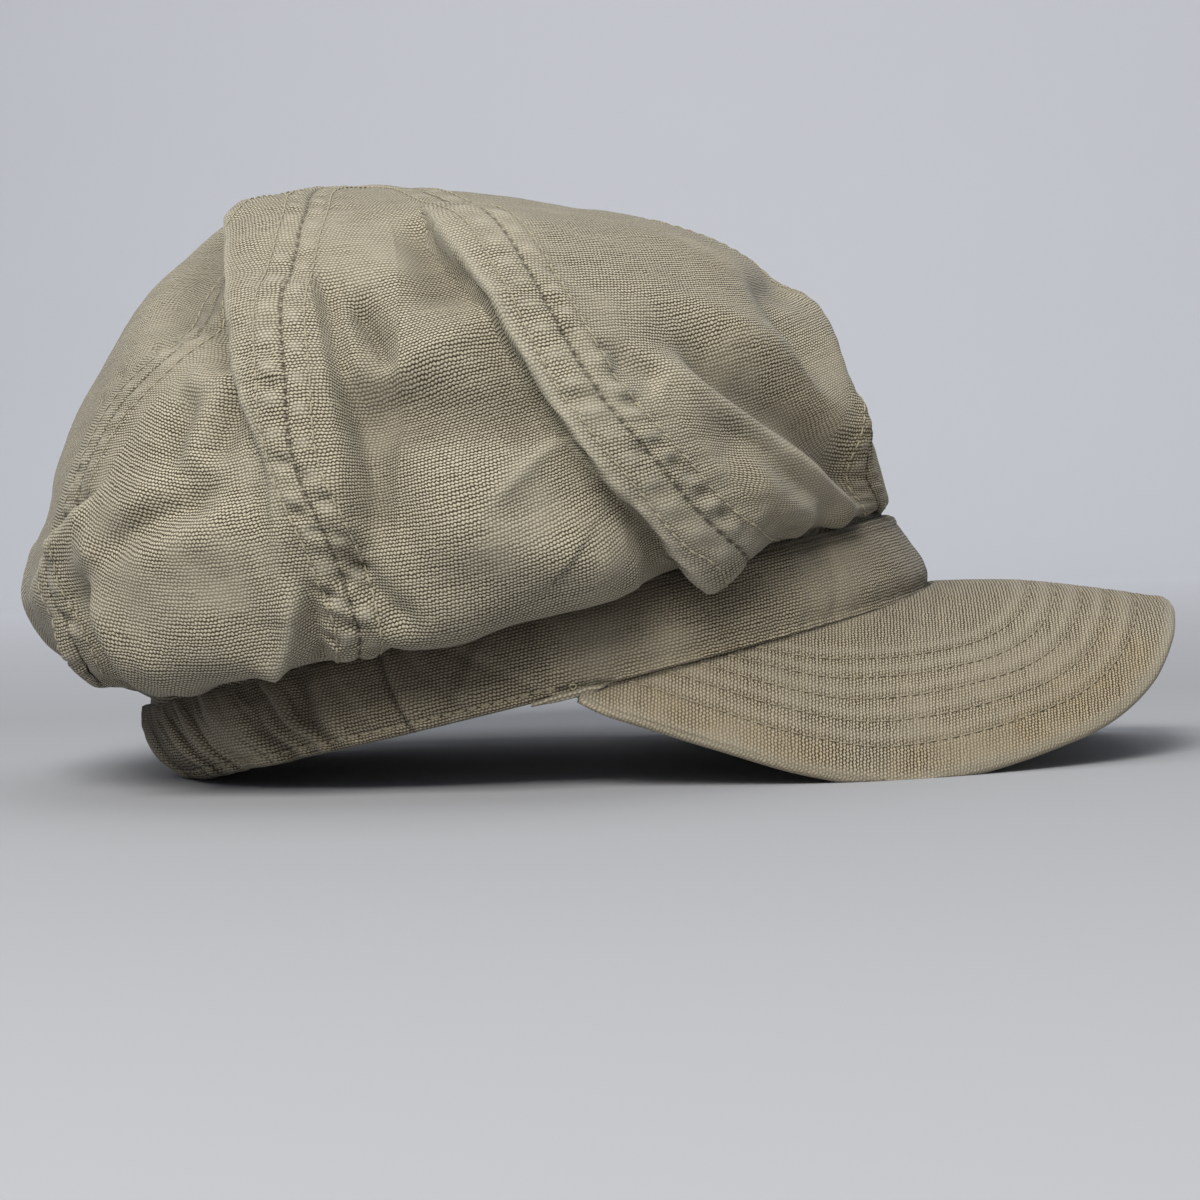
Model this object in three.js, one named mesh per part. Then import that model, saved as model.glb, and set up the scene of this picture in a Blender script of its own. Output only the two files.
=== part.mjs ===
// Soft eight-panel cap in canvas with a narrow headband and a stitched, arched peak.
// Units: millimetres. +X is the front (peak), +Y the wearer's left, +Z up. The cap rests on z = 0 on the back of
// its band and on the two low sides of its peak; the origin is under the middle of its bounding box.
//
// Angles run round the cap from the front: 0 front, 90 the wearer's right, -90 the wearer's left, 180 back.
// The crown is a stack of rings from the centre of the top (t = 0) to the band (t = 1), each given by its back
// and front points and half width, and eight seams divide it into panels. Folds and dents are ridges and
// valleys along short lines over the crown, each with a height and a width to either side; cliffs are places
// where the cloth of one side hangs over the other.
import * as THREE from "three";
import { mergeVertices } from "three/addons/utils/BufferGeometryUtils.js";

const CLOTH = 1.6; // crown wall: canvas with its seam allowances
const BAND_WALL = 2.6; // folded band with its facing
const PEAK_THICK = 3.0; // covered board of the peak
const GAP = 0.4; // between neighbouring pieces
const REST_PITCH = 1.95; // degrees, front down, from how it is worn to how it rests
const REST_BACK_X = -88.5; // the band's back foot, which stays where it is
const REST_DROP = 0.9; // how far cloth is pressed flat where it rests
const CENTRE_X = 17.31; // middle of the bounding box along the cap
const CENTRE_Y = 0.43; // and across it, the folds being a little fuller on one side
const BUTTON_R = 9.5;
const BUTTON_H = 3.4;
const SHANK_R = 3.0;
const CROWN_START = 0.025; // the panels stop here round the button's shank
const MERIDIAN = 215; // length of cloth from the button to the band
const FOLD_MIN_W = 5; // no fold is made narrower than this
const CLIFF_MIN_W = 6; // nor a cliff's drop shorter than this along the cloth

// Rings of the crown. sag is how much lower the sides hang, full is the ring's squareness (2 is an ellipse).
const CROWN_ROWS = [
  { t: 0.0, backX: -40, backZ: 148, frontX: -40, frontZ: 148, half: 0, sag: 0, full: 2 },
  { t: 0.08, backX: -59, backZ: 147, frontX: -18, frontZ: 146.5, half: 20, sag: 0.5, full: 2 },
  { t: 0.2, backX: -78, backZ: 141, frontX: 8, frontZ: 143.5, half: 45, sag: 2, full: 2.05 },
  { t: 0.33, backX: -92, backZ: 127, frontX: 36, frontZ: 138.5, half: 68, sag: 3, full: 2.1 },
  { t: 0.46, backX: -105, backZ: 109, frontX: 58, frontZ: 128, half: 86, sag: 2, full: 2.15 },
  { t: 0.58, backX: -115, backZ: 90, frontX: 72, frontZ: 113, half: 98, sag: 0, full: 2.2 },
  { t: 0.69, backX: -121.5, backZ: 72, frontX: 80, frontZ: 98, half: 104, sag: -2, full: 2.2 },
  { t: 0.79, backX: -125.5, backZ: 56, frontX: 84, frontZ: 85, half: 105, sag: -5, full: 2.2 },
  { t: 0.87, backX: -126, backZ: 43, frontX: 87, frontZ: 74, half: 101, sag: -8.5, full: 2.15 },
  { t: 0.94, backX: -116, backZ: 30.5, frontX: 88, frontZ: 69.5, half: 92, sag: -9, full: 2.1 },
  { t: 1.0, backX: -98, backZ: 20.4, frontX: 86.5, frontZ: 68, half: 78, sag: 0, full: 2.05 },
];

// Rings of the band's outer face, from its top edge (v = 0) to its bottom edge (v = 1).
const BAND_ROWS = [
  { v: 0.0, backX: -99.5, backZ: 18.6, frontX: 88.5, frontZ: 67, half: 79 },
  { v: 0.35, backX: -98.6, backZ: 12.4, frontX: 94, frontZ: 60.5, half: 80 },
  { v: 0.7, backX: -95, backZ: 5.5, frontX: 98.6, frontZ: 53.5, half: 80.2 },
  { v: 1.0, backX: -88.5, backZ: 0.4, frontX: 98.6, frontZ: 47.5, half: 79.4 },
];

// Angle of each seam, in degrees, at these heights t.
const SEAM_T = [0, 0.2, 0.3, 0.4, 0.5, 0.6, 0.7, 0.8, 0.9, 1];
const SEAM_ROWS = [
  { seam: "right_rear", deg: [150, 133, 128.5, 129, 125, 135.5, 140.5, 143.4, 141.8, 156] },
  { seam: "right_mid_rear", deg: [106, 108.5, 107, 106.2, 105, 102.3, 100.6, 96.7, 96, 105.5] },
  { seam: "right_mid_fore", deg: [71, 76, 76.4, 73.8, 72.3, 69.7, 65.4, 58.9, 51.2, 47.5] },
  { seam: "right_fore", deg: [12, 5, 2, 1, 2, 6, 13.5, 18, 14.5, 12] },
  { seam: "left_fore", deg: [-26, -28, -29, -29, -28, -26, -23, -21, -20, -21] },
  { seam: "left_mid_fore", deg: [-68, -72, -73, -71, -69, -66, -62, -58, -55, -57] },
  { seam: "left_mid_rear", deg: [-113, -110, -108, -106, -105, -104, -102, -100, -99, -103] },
  { seam: "left_rear", deg: [-152, -143, -138, -136, -135, -137, -140, -143, -145, -152] },
];
const PANEL_NAMES = [
  "panel_right_back", "panel_right_mid", "panel_right_front", "panel_front",
  "panel_left_front", "panel_left_mid", "panel_left_back", "panel_back",
];

// How much lower the crown's edge hangs over the band, at these angles.
const HANG_ROWS = [
  { deg: -180, z: 0 }, { deg: -140, z: 0.5 }, { deg: -100, z: 2.5 }, { deg: -60, z: 2.5 }, { deg: -20, z: 0.5 },
  { deg: 0, z: 0 }, { deg: 20, z: 0 }, { deg: 40, z: 0 }, { deg: 46, z: 0 }, { deg: 49, z: 0.2 },
  { deg: 50.5, z: 0.4 }, { deg: 52, z: 0.8 }, { deg: 53.5, z: 1.4 }, { deg: 55, z: 2.2 }, { deg: 57, z: 3.2 },
  { deg: 58.5, z: 3.2 }, { deg: 60, z: 2.4 }, { deg: 61.5, z: 1.2 }, { deg: 62.8, z: 0.8 }, { deg: 64, z: 1.6 },
  { deg: 65.5, z: 3 }, { deg: 68, z: 3.2 }, { deg: 76, z: 2.8 }, { deg: 90, z: 2.2 }, { deg: 102, z: 1.6 },
  { deg: 115, z: 1.6 }, { deg: 132, z: 0.8 }, { deg: 145, z: 0.4 }, { deg: 160, z: 0 }, { deg: 180, z: 0 },
];

// Cliffs: the side towards the front stands h higher and fades over wf, the rear side drops within wb and has a
// hollow of the given depth and width behind it; only between heights from and to.
const CLIFF_ROWS = [
  { cliff: "fore_lip", t: [0.3, 0.348, 0.438, 0.52, 0.576, 0.634, 0.704, 0.784, 0.844, 0.9, 0.962], a: [82.2, 82, 80, 77.3, 75.4, 72.8, 69.8, 65.4, 60.3, 57, 54.7], from: 0.31, to: 1.02, h: 6.4, wf: 22, wb: 1.5, hollow: 3, wh: 9 },
  { cliff: "rear_pleat", t: [0.19, 0.282, 0.389, 0.465, 0.541, 0.611, 0.664, 0.717, 0.767, 0.813, 0.87], a: [138, 128.8, 119.4, 114.5, 110.7, 107.4, 105.1, 103.4, 102.6, 102.6, 103], from: 0.2, to: 0.83, h: 4.6, wf: 16, wb: 1.7, hollow: 2.2, wh: 12 },
  { cliff: "left_lip", t: [0.3, 0.5, 0.7, 0.85, 0.97], a: [-80, -77, -70, -65, -62], from: 0.32, to: 1, h: 4.8, wf: 22, wb: 2.2, hollow: 2.4, wh: 12 },
  { cliff: "tail_lip", t: [0.68, 0.74, 0.79, 0.85], a: [131, 137, 145.5, 154], from: 0.69, to: 0.86, h: 2.4, wf: 14, wb: 1.6, hollow: 0.8, wh: 6 },
];
// Flank that closes the raised strip of the rear seam towards the front.
const FLANK = { t: [0.42, 0.465, 0.515, 0.585, 0.652, 0.718, 0.779, 0.822, 0.87], a: [102.6, 101.5, 99.8, 97.6, 96, 94.7, 94.3, 94.4, 94.6] };

// Folds and dents: points (t, a in degrees) along the crest, h height (minus is a valley), right and left the widths
// on either side of the walk from the first point to the last, seen from outside.
const FOLD_ROWS = [
  { fold: "fore_ridge_1", t: [0.595, 0.631, 0.672, 0.725, 0.787, 0.835, 0.898, 0.965], a: [63.6, 57.9, 52.5, 46.5, 39.9, 33.7, 25.1, 17.5], h: 4.42, right: 4.2, left: 7 },
  { fold: "fore_valley_1", t: [0.572, 0.594, 0.61, 0.661, 0.706, 0.754, 0.815, 0.885, 0.95], a: [63.5, 58.2, 51.9, 48, 41.5, 34, 26.7, 19.1, 13], h: -5.98, right: 8, left: 5 },
  { fold: "fore_ridge_2", t: [0.509, 0.539, 0.574, 0.615, 0.651, 0.706, 0.771, 0.849, 0.93], a: [61.6, 52.7, 45.2, 37, 31.2, 27, 21.9, 13.7, 8], h: 3.64, right: 8, left: 7 },
  { fold: "fore_valley_2", t: [0.46, 0.5, 0.53, 0.582, 0.639, 0.69, 0.733], a: [-6, 12, 25, 26.8, 27.1, 25.2, 21.4], h: -3.64, right: 6, left: 6 },
  { fold: "fore_ridge_3", t: [0.5, 0.54, 0.591, 0.655, 0.712, 0.767, 0.83], a: [-4, 9.5, 14.1, 18.6, 18.9, 17.1, 12], h: 3.9, right: 5, left: 6 },
  { fold: "fore_valley_3", t: [0.56, 0.596, 0.641, 0.702, 0.786, 0.86], a: [1, 5.1, 5.9, 8.7, 13.1, 12], h: -3.38, right: 5, left: 5 },
  { fold: "fore_valley_0", t: [0.69, 0.707, 0.74, 0.779, 0.829, 0.878, 0.94], a: [56.5, 54, 49.6, 43.8, 38.6, 32.9, 26], h: -4.68, right: 3.6, left: 6 },
  { fold: "fore_ridge_0", t: [0.78, 0.797, 0.832, 0.868, 0.93], a: [51.4, 48.4, 44.4, 39.6, 32.6], h: 3.12, right: 5, left: 6 },
  { fold: "mid_valley", t: [0.61, 0.625, 0.644, 0.664, 0.686, 0.73], a: [98, 94, 89.9, 83.6, 76.7, 70], h: -4.78, right: 9, left: 9 },
  { fold: "mid_arc", t: [0.6, 0.597, 0.583, 0.562, 0.527, 0.49], a: [96, 92.7, 88.9, 84.2, 77.1, 75], h: 3.29, right: 7, left: 5 },
  { fold: "mid_dimple", t: [0.33, 0.37, 0.442, 0.528], a: [85.2, 85.2, 85.6, 85.1], h: -3.12, right: 6, left: 6 },
  { fold: "mid_diag_ridge", t: [0.8, 0.787, 0.755, 0.717, 0.7], a: [82.5, 80.8, 77.1, 72.5, 70], h: 2.21, right: 6, left: 2.6 },
  { fold: "mid_bright", t: [0.755, 0.763, 0.795, 0.825, 0.86, 0.895], a: [92, 89.3, 83.9, 77.4, 68.2, 61], h: 3.38, right: 8, left: 9 },
  { fold: "mid_low_valley", t: [0.86, 0.865, 0.869, 0.888], a: [92, 88.6, 80.1, 68], h: -2.34, right: 5, left: 6 },
  { fold: "flank_soft", t: [0.58, 0.629, 0.696, 0.76, 0.83], a: [96, 94.8, 92.8, 91.6, 91], h: -3.12, right: 8, left: 5 },
  { fold: "rear_top_hollow", t: [0.16, 0.22, 0.3, 0.38, 0.46, 0.54], a: [162, 152, 142, 134.5, 128.5, 123], h: -5.98, right: 11, left: 10 },
  { fold: "rear_patch", t: [0.43, 0.488, 0.522, 0.549, 0.565], a: [122, 118, 115.1, 113.2, 112], h: -3.9, right: 5, left: 6.5 },
  { fold: "rear_diag_valley", t: [0.785, 0.772, 0.75, 0.735, 0.707], a: [133, 128.7, 121.7, 116.1, 110], h: -3.9, right: 4, left: 5 },
  { fold: "rear_diag_low", t: [0.825, 0.808, 0.78, 0.753, 0.735], a: [134, 128.5, 117.9, 109.1, 105], h: 2.86, right: 4, left: 9 },
  { fold: "rear_diag_high", t: [0.8, 0.786, 0.751, 0.709, 0.68], a: [138, 133.6, 125.8, 121.5, 119.5], h: 2.47, right: 5, left: 3.6 },
  { fold: "mid_low_belly", t: [0.86, 0.885, 0.89, 0.885, 0.87], a: [101, 92, 82, 72, 62], h: 2.6, right: 9, left: 11 },
  { fold: "rear_low_belly", t: [0.86, 0.885, 0.89, 0.88], a: [134, 124, 114, 105], h: 2.2, right: 9, left: 11 },
  { fold: "mid_belly", t: [0.64, 0.76, 0.86, 0.95], a: [86, 85, 83, 81], h: 2.4, right: 22, left: 20 },
  { fold: "rear_belly", t: [0.7, 0.8, 0.88, 0.95], a: [114, 116, 118, 121], h: 3.2, right: 18, left: 18 },
  { fold: "tail_dark", t: [0.79, 0.824, 0.866, 0.9, 0.948], a: [136.4, 134.9, 133.5, 132.6, 136.3], h: -5.08, right: 3.4, left: 7 },
  { fold: "tail_ridge", t: [0.8, 0.833, 0.876, 0.93, 0.98], a: [131.4, 130.2, 127.8, 129, 133], h: 3.89, right: 6, left: 3 },
  { fold: "rear_corner", t: [0.82, 0.856, 0.882, 0.909, 0.946], a: [101.2, 101.4, 102.8, 105.6, 112.7], h: 4.19, right: 2, left: 4.5 },
  { fold: "front_hollow", t: [0.58, 0.68, 0.8, 0.93], a: [-4, -4, -3, -3], h: -2.2, right: 9, left: 8 },
  { fold: "front_ridge", t: [0.6, 0.72, 0.84, 0.97], a: [-13, -12, -10, -9], h: 2, right: 6, left: 6 },
  { fold: "left_rear_ridge", t: [0.24, 0.46, 0.7, 0.94], a: [-110, -106, -103, -101], h: 3.8, right: 7, left: 7 },
  { fold: "left_rear_hollow", t: [0.38, 0.48, 0.58, 0.7], a: [-121, -120, -119, -119], h: -3, right: 8, left: 11 },
  { fold: "left_mid_belly", t: [0.66, 0.76, 0.86, 0.97], a: [-86, -86, -85, -84], h: 3, right: 20, left: 20 },
  { fold: "left_mid_dart", t: [0.36, 0.46, 0.56, 0.66], a: [-93, -92, -90, -89], h: -2.2, right: 6, left: 7 },
  { fold: "left_mid_valley", t: [0.6, 0.64, 0.67, 0.72], a: [-97, -90, -83, -74], h: -2.8, right: 8, left: 8 },
  { fold: "left_mid_bright", t: [0.74, 0.77, 0.81, 0.86], a: [-92, -85, -78, -68], h: 2.4, right: 8, left: 8 },
  { fold: "left_fore_ridge", t: [0.54, 0.64, 0.76, 0.95], a: [-56, -46, -36, -26], h: 3.2, right: 6, left: 5 },
  { fold: "left_fore_valley", t: [0.56, 0.66, 0.78, 0.95], a: [-48, -38, -28, -19], h: -3.4, right: 6, left: 7 },
  { fold: "left_fore_valley_0", t: [0.7, 0.77, 0.85, 0.94], a: [-52, -45, -37, -30], h: -2.8, right: 5, left: 4 },
  { fold: "left_fore_ridge_2", t: [0.48, 0.56, 0.66, 0.82], a: [-52, -41, -31, -18], h: 2.2, right: 8, left: 7 },
  { fold: "left_low_ridge", t: [0.76, 0.84, 0.91, 0.98], a: [-116, -118, -121, -125], h: 2, right: 4, left: 6 },
  { fold: "left_drag", t: [0.66, 0.71, 0.76, 0.82], a: [-112, -119, -127, -136], h: -2.2, right: 6, left: 6 },
  { fold: "left_belly", t: [0.7, 0.8, 0.88, 0.95], a: [-114, -116, -118, -121], h: 2.8, right: 18, left: 18 },
  { fold: "left_tail", t: [0.8, 0.86, 0.92, 0.98], a: [-133, -133, -135, -140], h: -2.8, right: 6, left: 4 },
  { fold: "back_hollow", t: [0.4, 0.54, 0.68, 0.8], a: [178, 177, 178, 180], h: -2.4, right: 14, left: 14 },
  { fold: "back_cross", t: [0.7, 0.72, 0.73, 0.72, 0.7], a: [152, 163, 178, 193, 205], h: -2.2, right: 6, left: 7 },
  { fold: "back_fold_1", t: [0.7, 0.8, 0.9, 0.98], a: [168, 169, 171, 172], h: 2.2, right: 5, left: 7 },
  { fold: "back_fold_2", t: [0.72, 0.82, 0.91, 0.98], a: [191, 189, 187, 186], h: 2.2, right: 6, left: 5 },
];

// Outer edge of the peak (wearer's right half; the left mirrors it) against the angle where it leaves the band.
const PEAK_ROWS = [
  { deg: 0, x: 158, y: 0, z: 44.5 },
  { deg: 8, x: 157.3, y: 14, z: 42.3 },
  { deg: 15, x: 155.0, y: 27, z: 36.8 },
  { deg: 22, x: 149.5, y: 37.5, z: 28 },
  { deg: 30, x: 138.5, y: 47.5, z: 19.2 },
  { deg: 37, x: 126, y: 55.5, z: 14.2 },
  { deg: 45, x: 108, y: 64.2, z: 9.0 },
  { deg: 52, x: 90, y: 71.3, z: 6.3 },
  { deg: 60, x: 69, y: 76.6, z: 9.2 },
  { deg: 68, x: 49, y: 79.8, z: 15.0 },
  { deg: 76, x: 30, y: 81.4, z: 20.4 },
  { deg: 80, x: 23, y: 81.4, z: 21.6 },
  { deg: 84, x: 17, y: 81.0, z: 22.8 },
];
const PEAK_END = 84;
const PEAK_CROWNING = 2.2; // how far its middle arches above a straight line from band to edge

const rad = (d) => (d * Math.PI) / 180;
const spow = (v, p) => Math.sign(v) * Math.abs(v) ** p;
const step = (x, lo, hi) => THREE.MathUtils.smoothstep(x, lo, hi);
const mix = (x, y, f) => x + (y - x) * f;

// Smooth curve through the rows of a table: keys and columns, with tangents from the neighbouring spans.
function smooth(keys, cols, key) {
  const n = keys.length;
  let i = 0;
  while (i < n - 2 && key > keys[i + 1]) i++;
  const w = keys[i + 1] - keys[i];
  const s = (key - keys[i]) / w;
  const slope = (c, k) => (c[k + 1] - c[k]) / (keys[k + 1] - keys[k]);
  const tangent = (c, k) => {
    if (k === 0) return slope(c, 0);
    if (k === n - 1) return slope(c, n - 2);
    const a = keys[k] - keys[k - 1], b = keys[k + 1] - keys[k];
    return (slope(c, k - 1) * b + slope(c, k) * a) / (a + b);
  };
  const h0 = 2 * s ** 3 - 3 * s ** 2 + 1, h1 = s ** 3 - 2 * s ** 2 + s;
  const h2 = -2 * s ** 3 + 3 * s ** 2, h3 = s ** 3 - s ** 2;
  return cols.map((c) => h0 * c[i] + h1 * tangent(c, i) * w + h2 * c[i + 1] + h3 * tangent(c, i + 1) * w);
}
const columns = (rows, names) => names.map((n) => rows.map((r) => r[n]));
const CROWN_KEYS = CROWN_ROWS.map((r) => r.t);
const CROWN_COLS = columns(CROWN_ROWS, ["backX", "backZ", "frontX", "frontZ", "half", "sag", "full"]);
const HANG_KEYS = HANG_ROWS.map((r) => r.deg);
const HANG_COLS = columns(HANG_ROWS, ["z"]);
const BAND_KEYS = BAND_ROWS.map((r) => r.v);
const BAND_COLS = columns(BAND_ROWS, ["backX", "backZ", "frontX", "frontZ", "half"]);
const PEAK_KEYS = PEAK_ROWS.map((r) => r.deg);
const PEAK_COLS = columns(PEAK_ROWS, ["x", "y", "z"]);

function ring(a, backX, backZ, frontX, frontZ, half, sag, full) {
  const c = Math.cos(a), s = Math.sin(a);
  const C = spow(c, 2 / full), S = spow(s, 2 / full);
  return new THREE.Vector3(
    (backX + frontX) / 2 + ((frontX - backX) / 2) * C,
    -half * S,
    (backZ + frontZ) / 2 + ((frontZ - backZ) / 2) * C + sag * S * S * (1 - 0.7 * C),
  );
}
function hangAt(a) {
  return smooth(HANG_KEYS, HANG_COLS, (Math.atan2(Math.sin(a), Math.cos(a)) * 180) / Math.PI)[0];
}
function crownBase(a, t) {
  const p = ring(a, ...smooth(CROWN_KEYS, CROWN_COLS, t));
  p.z -= hangAt(a) * Math.exp(-(((t - 0.915) / 0.055) ** 2)) * step(1 - t, 0, 0.06);
  return p;
}
const bandFace = (a, v) => ring(a, ...smooth(BAND_KEYS, BAND_COLS, v), 0, 2.05);
const seamAngle = (k, t) => {
  const n = SEAM_ROWS.length;
  const turn = 360 * Math.floor(k / n);
  return rad(smooth(SEAM_T, [SEAM_ROWS[k % n].deg], t)[0] - turn);
};

// Outward normal of the smooth crown.
function crownNormal(a, t) {
  const e = 1e-3;
  const da = crownBase(a + e, t).sub(crownBase(a - e, t));
  const dt = crownBase(a, Math.min(1, t + e)).sub(crownBase(a, t - e));
  return dt.cross(da).normalize().negate();
}

// Points, sideways directions and spacing along a fold's crest.
function crestOf(fold) {
  const n = 48, keys = [0];
  for (let i = 1; i < fold.t.length; i++)
    keys.push(keys[i - 1] + Math.hypot((fold.t[i] - fold.t[i - 1]) * MERIDIAN, (fold.a[i] - fold.a[i - 1]) * 1.5));
  const points = [], normals = [];
  for (let i = 0; i < n; i++) {
    const [t, a] = smooth(keys, [fold.t, fold.a], (keys[keys.length - 1] * i) / (n - 1));
    points.push(crownBase(rad(a), t));
    normals.push(crownNormal(rad(a), Math.min(1, t)));
  }
  const tangents = points.map((_, i) => points[Math.min(n - 1, i + 1)].clone().sub(points[Math.max(0, i - 1)]).normalize());
  const sides = normals.map((m, i) => m.clone().cross(tangents[i]).normalize());
  let length = 0;
  for (let i = 1; i < n; i++) length += points[i].distanceTo(points[i - 1]);
  return { ...fold, points, tangents, sides, gap: length / (n - 1) };
}
const CRESTS = FOLD_ROWS.map(crestOf);

// Distance over the cloth from a line, plus towards the front.
function fromLine(keys, degs, a, t) {
  const e = 1e-3, lo = keys[0], hi = keys[keys.length - 1];
  const at = (x) => rad(smooth(keys, [degs], Math.min(hi, Math.max(lo, x)))[0]);
  const line = at(t), slope = (at(t + e) - at(t - e)) / (2 * e);
  const pa = crownBase(a + e, t).sub(crownBase(a - e, t)).multiplyScalar(1 / (2 * e));
  const up = Math.min(1, t + e), down = Math.max(0, t - e);
  const pt = crownBase(a, up).sub(crownBase(a, down)).multiplyScalar(1 / (up - down));
  const E = pa.dot(pa), G = pt.dot(pt), M = pa.dot(pt);
  const g2 = (G + 2 * M * slope + E * slope * slope) / Math.max(E * G - M * M, 1e-6);
  const side = degs[0] > 0 ? 1 : -1;
  return (-side * Math.atan2(Math.sin(a - line), Math.cos(a - line))) / Math.sqrt(g2);
}

// Height of the folds at a point of the crown.
function foldHeight(a, t) {
  let sum = 0;
  for (const c of CLIFF_ROWS) {
    const run = 0.09 * (c.to - c.from) + 0.03;
    let fade = step(t, c.from - 0.3 * run, c.from + run) * (1 - step(t, c.to - run, c.to + 0.3 * run));
    if (c.cliff === "rear_pleat") fade *= 1 - 0.72 * step(t, 0.6, 0.72);
    if (fade <= 0) continue;
    const d = fromLine(c.t, c.a, a, t);
    if (Math.abs(d) > 90) continue;
    const wb = Math.max(c.wb, CLIFF_MIN_W);
    const wf = c.cliff === "fore_lip" ? mix(c.wf, 8, step(t, 0.85, 0.96)) : c.wf; // its tip is narrow
    const high = d > 0 ? Math.exp(-((d / wf) ** 2)) : 1 - step(-d, 0, wb);
    const low = step(-d, 0.3 * wb, 0.3 * wb + 0.35 * c.wh) * Math.exp(-((Math.max(-d - 0.3 * c.wh, 0) / c.wh) ** 2));
    sum += fade * (c.h * high - c.hollow * low);
  }
  const d = fromLine(FLANK.t, FLANK.a, a, t);
  if (Math.abs(d) < 60) {
    const soft = CLIFF_MIN_W + 4 * step(t, 0.6, 0.8);
    const fade = step(t, 0.43, 0.5) * (1 - step(t, 0.78, 0.88));
    const drop = step(d, -0.35 * soft, 0.65 * soft);
    sum -= fade * drop * 4.6 * Math.exp(-((Math.max(d, 0) / 15) ** 2));
  }
  const p = crownBase(a, t);
  for (const c of CRESTS) {
    let near = 0, best = Infinity;
    for (let i = 0; i < c.points.length; i++) {
      const q = p.distanceToSquared(c.points[i]);
      if (q < best) {
        best = q;
        near = i;
      }
    }
    const wr = Math.max(c.right, FOLD_MIN_W), wl = Math.max(c.left, FOLD_MIN_W);
    if (best > (4 * Math.max(wr, wl)) ** 2) continue;
    const off = p.clone().sub(c.points[near]);
    const along = THREE.MathUtils.clamp(off.dot(c.tangents[near]), -0.5 * c.gap, 0.5 * c.gap);
    const r = Math.sqrt(Math.max(best - along * along, 0));
    const d = off.dot(c.sides[near]);
    const s = (near + along / c.gap) / (c.points.length - 1);
    const ends = step(s, 0, 0.3) * (1 - step(s, 0.74, 1));
    const w = mix(wl, wr, step(d, -0.35 * wl, 0.35 * wr));
    sum += c.h * ends * Math.exp(-((r / w) ** 2));
  }
  return sum;
}

// Height of the folds averaged over a facet's reach: da and dt are the spacings of the grid there.
const SPREAD = [[-2 / 3, 1], [-1 / 3, 2], [0, 3], [1 / 3, 2], [2 / 3, 1]];
function facetHeight(a, t, da, dt) {
  let sum = 0;
  for (const [u, wu] of SPREAD) for (const [v, wv] of SPREAD) sum += wu * wv * foldHeight(a + u * da, Math.min(1, Math.max(0, t + v * dt)));
  return sum / 81;
}

// From how the cap is worn to how it rests: tipped forward on its peak and pressed flat on the floor.
function rest(p) {
  const c = Math.cos(rad(REST_PITCH)), s = Math.sin(rad(REST_PITCH));
  const x = p.x - REST_BACK_X, z = p.z;
  return new THREE.Vector3(x * c + z * s + REST_BACK_X - CENTRE_X, p.y - CENTRE_Y, Math.max(0, z * c - x * s - REST_DROP));
}

// A closed wall from two grids of points with the same rows and columns; round closes each row on itself.
function wall(name, outer, inner, round, material) {
  const rows = outer.length, cols = outer[0].length;
  const points = [], faces = [];
  const id = (side, i, j) => side * rows * cols + i * cols + (round ? j % cols : j);
  for (const grid of [outer, inner]) for (const row of grid) for (const p of row) points.push(...rest(p).toArray());
  const quad = (a, b, c, d) => faces.push(a, b, c, a, c, d);
  const last = round ? cols : cols - 1;
  for (let i = 0; i < rows - 1; i++)
    for (let j = 0; j < last; j++) {
      quad(id(0, i, j), id(0, i + 1, j), id(0, i + 1, j + 1), id(0, i, j + 1));
      quad(id(1, i, j), id(1, i, j + 1), id(1, i + 1, j + 1), id(1, i + 1, j));
    }
  for (let j = 0; j < last; j++) {
    quad(id(0, 0, j), id(0, 0, j + 1), id(1, 0, j + 1), id(1, 0, j));
    quad(id(0, rows - 1, j), id(1, rows - 1, j), id(1, rows - 1, j + 1), id(0, rows - 1, j + 1));
  }
  if (!round)
    for (let i = 0; i < rows - 1; i++) {
      quad(id(0, i, 0), id(1, i, 0), id(1, i + 1, 0), id(0, i + 1, 0));
      quad(id(0, i, cols - 1), id(0, i + 1, cols - 1), id(1, i + 1, cols - 1), id(1, i, cols - 1));
    }
  let g = new THREE.BufferGeometry();
  g.setAttribute("position", new THREE.Float32BufferAttribute(points, 3));
  g.setIndex(faces);
  g = mergeVertices(g, 1e-3);
  if (signedVolume(g) < 0) {
    const ix = g.index.array;
    for (let i = 0; i < ix.length; i += 3) [ix[i + 1], ix[i + 2]] = [ix[i + 2], ix[i + 1]];
  }
  g.computeVertexNormals();
  const mesh = new THREE.Mesh(g, material);
  mesh.name = name;
  return mesh;
}
function signedVolume(g) {
  const p = g.attributes.position, ix = g.index.array;
  const v = (k) => new THREE.Vector3().fromBufferAttribute(p, ix[k]);
  let sum = 0;
  for (let i = 0; i < ix.length; i += 3) sum += v(i).dot(v(i + 1).cross(v(i + 2)));
  return sum / 6;
}

const canvas = new THREE.MeshStandardMaterial({ color: 0x97907a, roughness: 0.95, metalness: 0 });
const bandCanvas = new THREE.MeshStandardMaterial({ color: 0x8a8369, roughness: 0.95, metalness: 0 });
const peakCanvas = new THREE.MeshStandardMaterial({ color: 0x9a906f, roughness: 0.95, metalness: 0 });
const cap = new THREE.Group();

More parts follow.
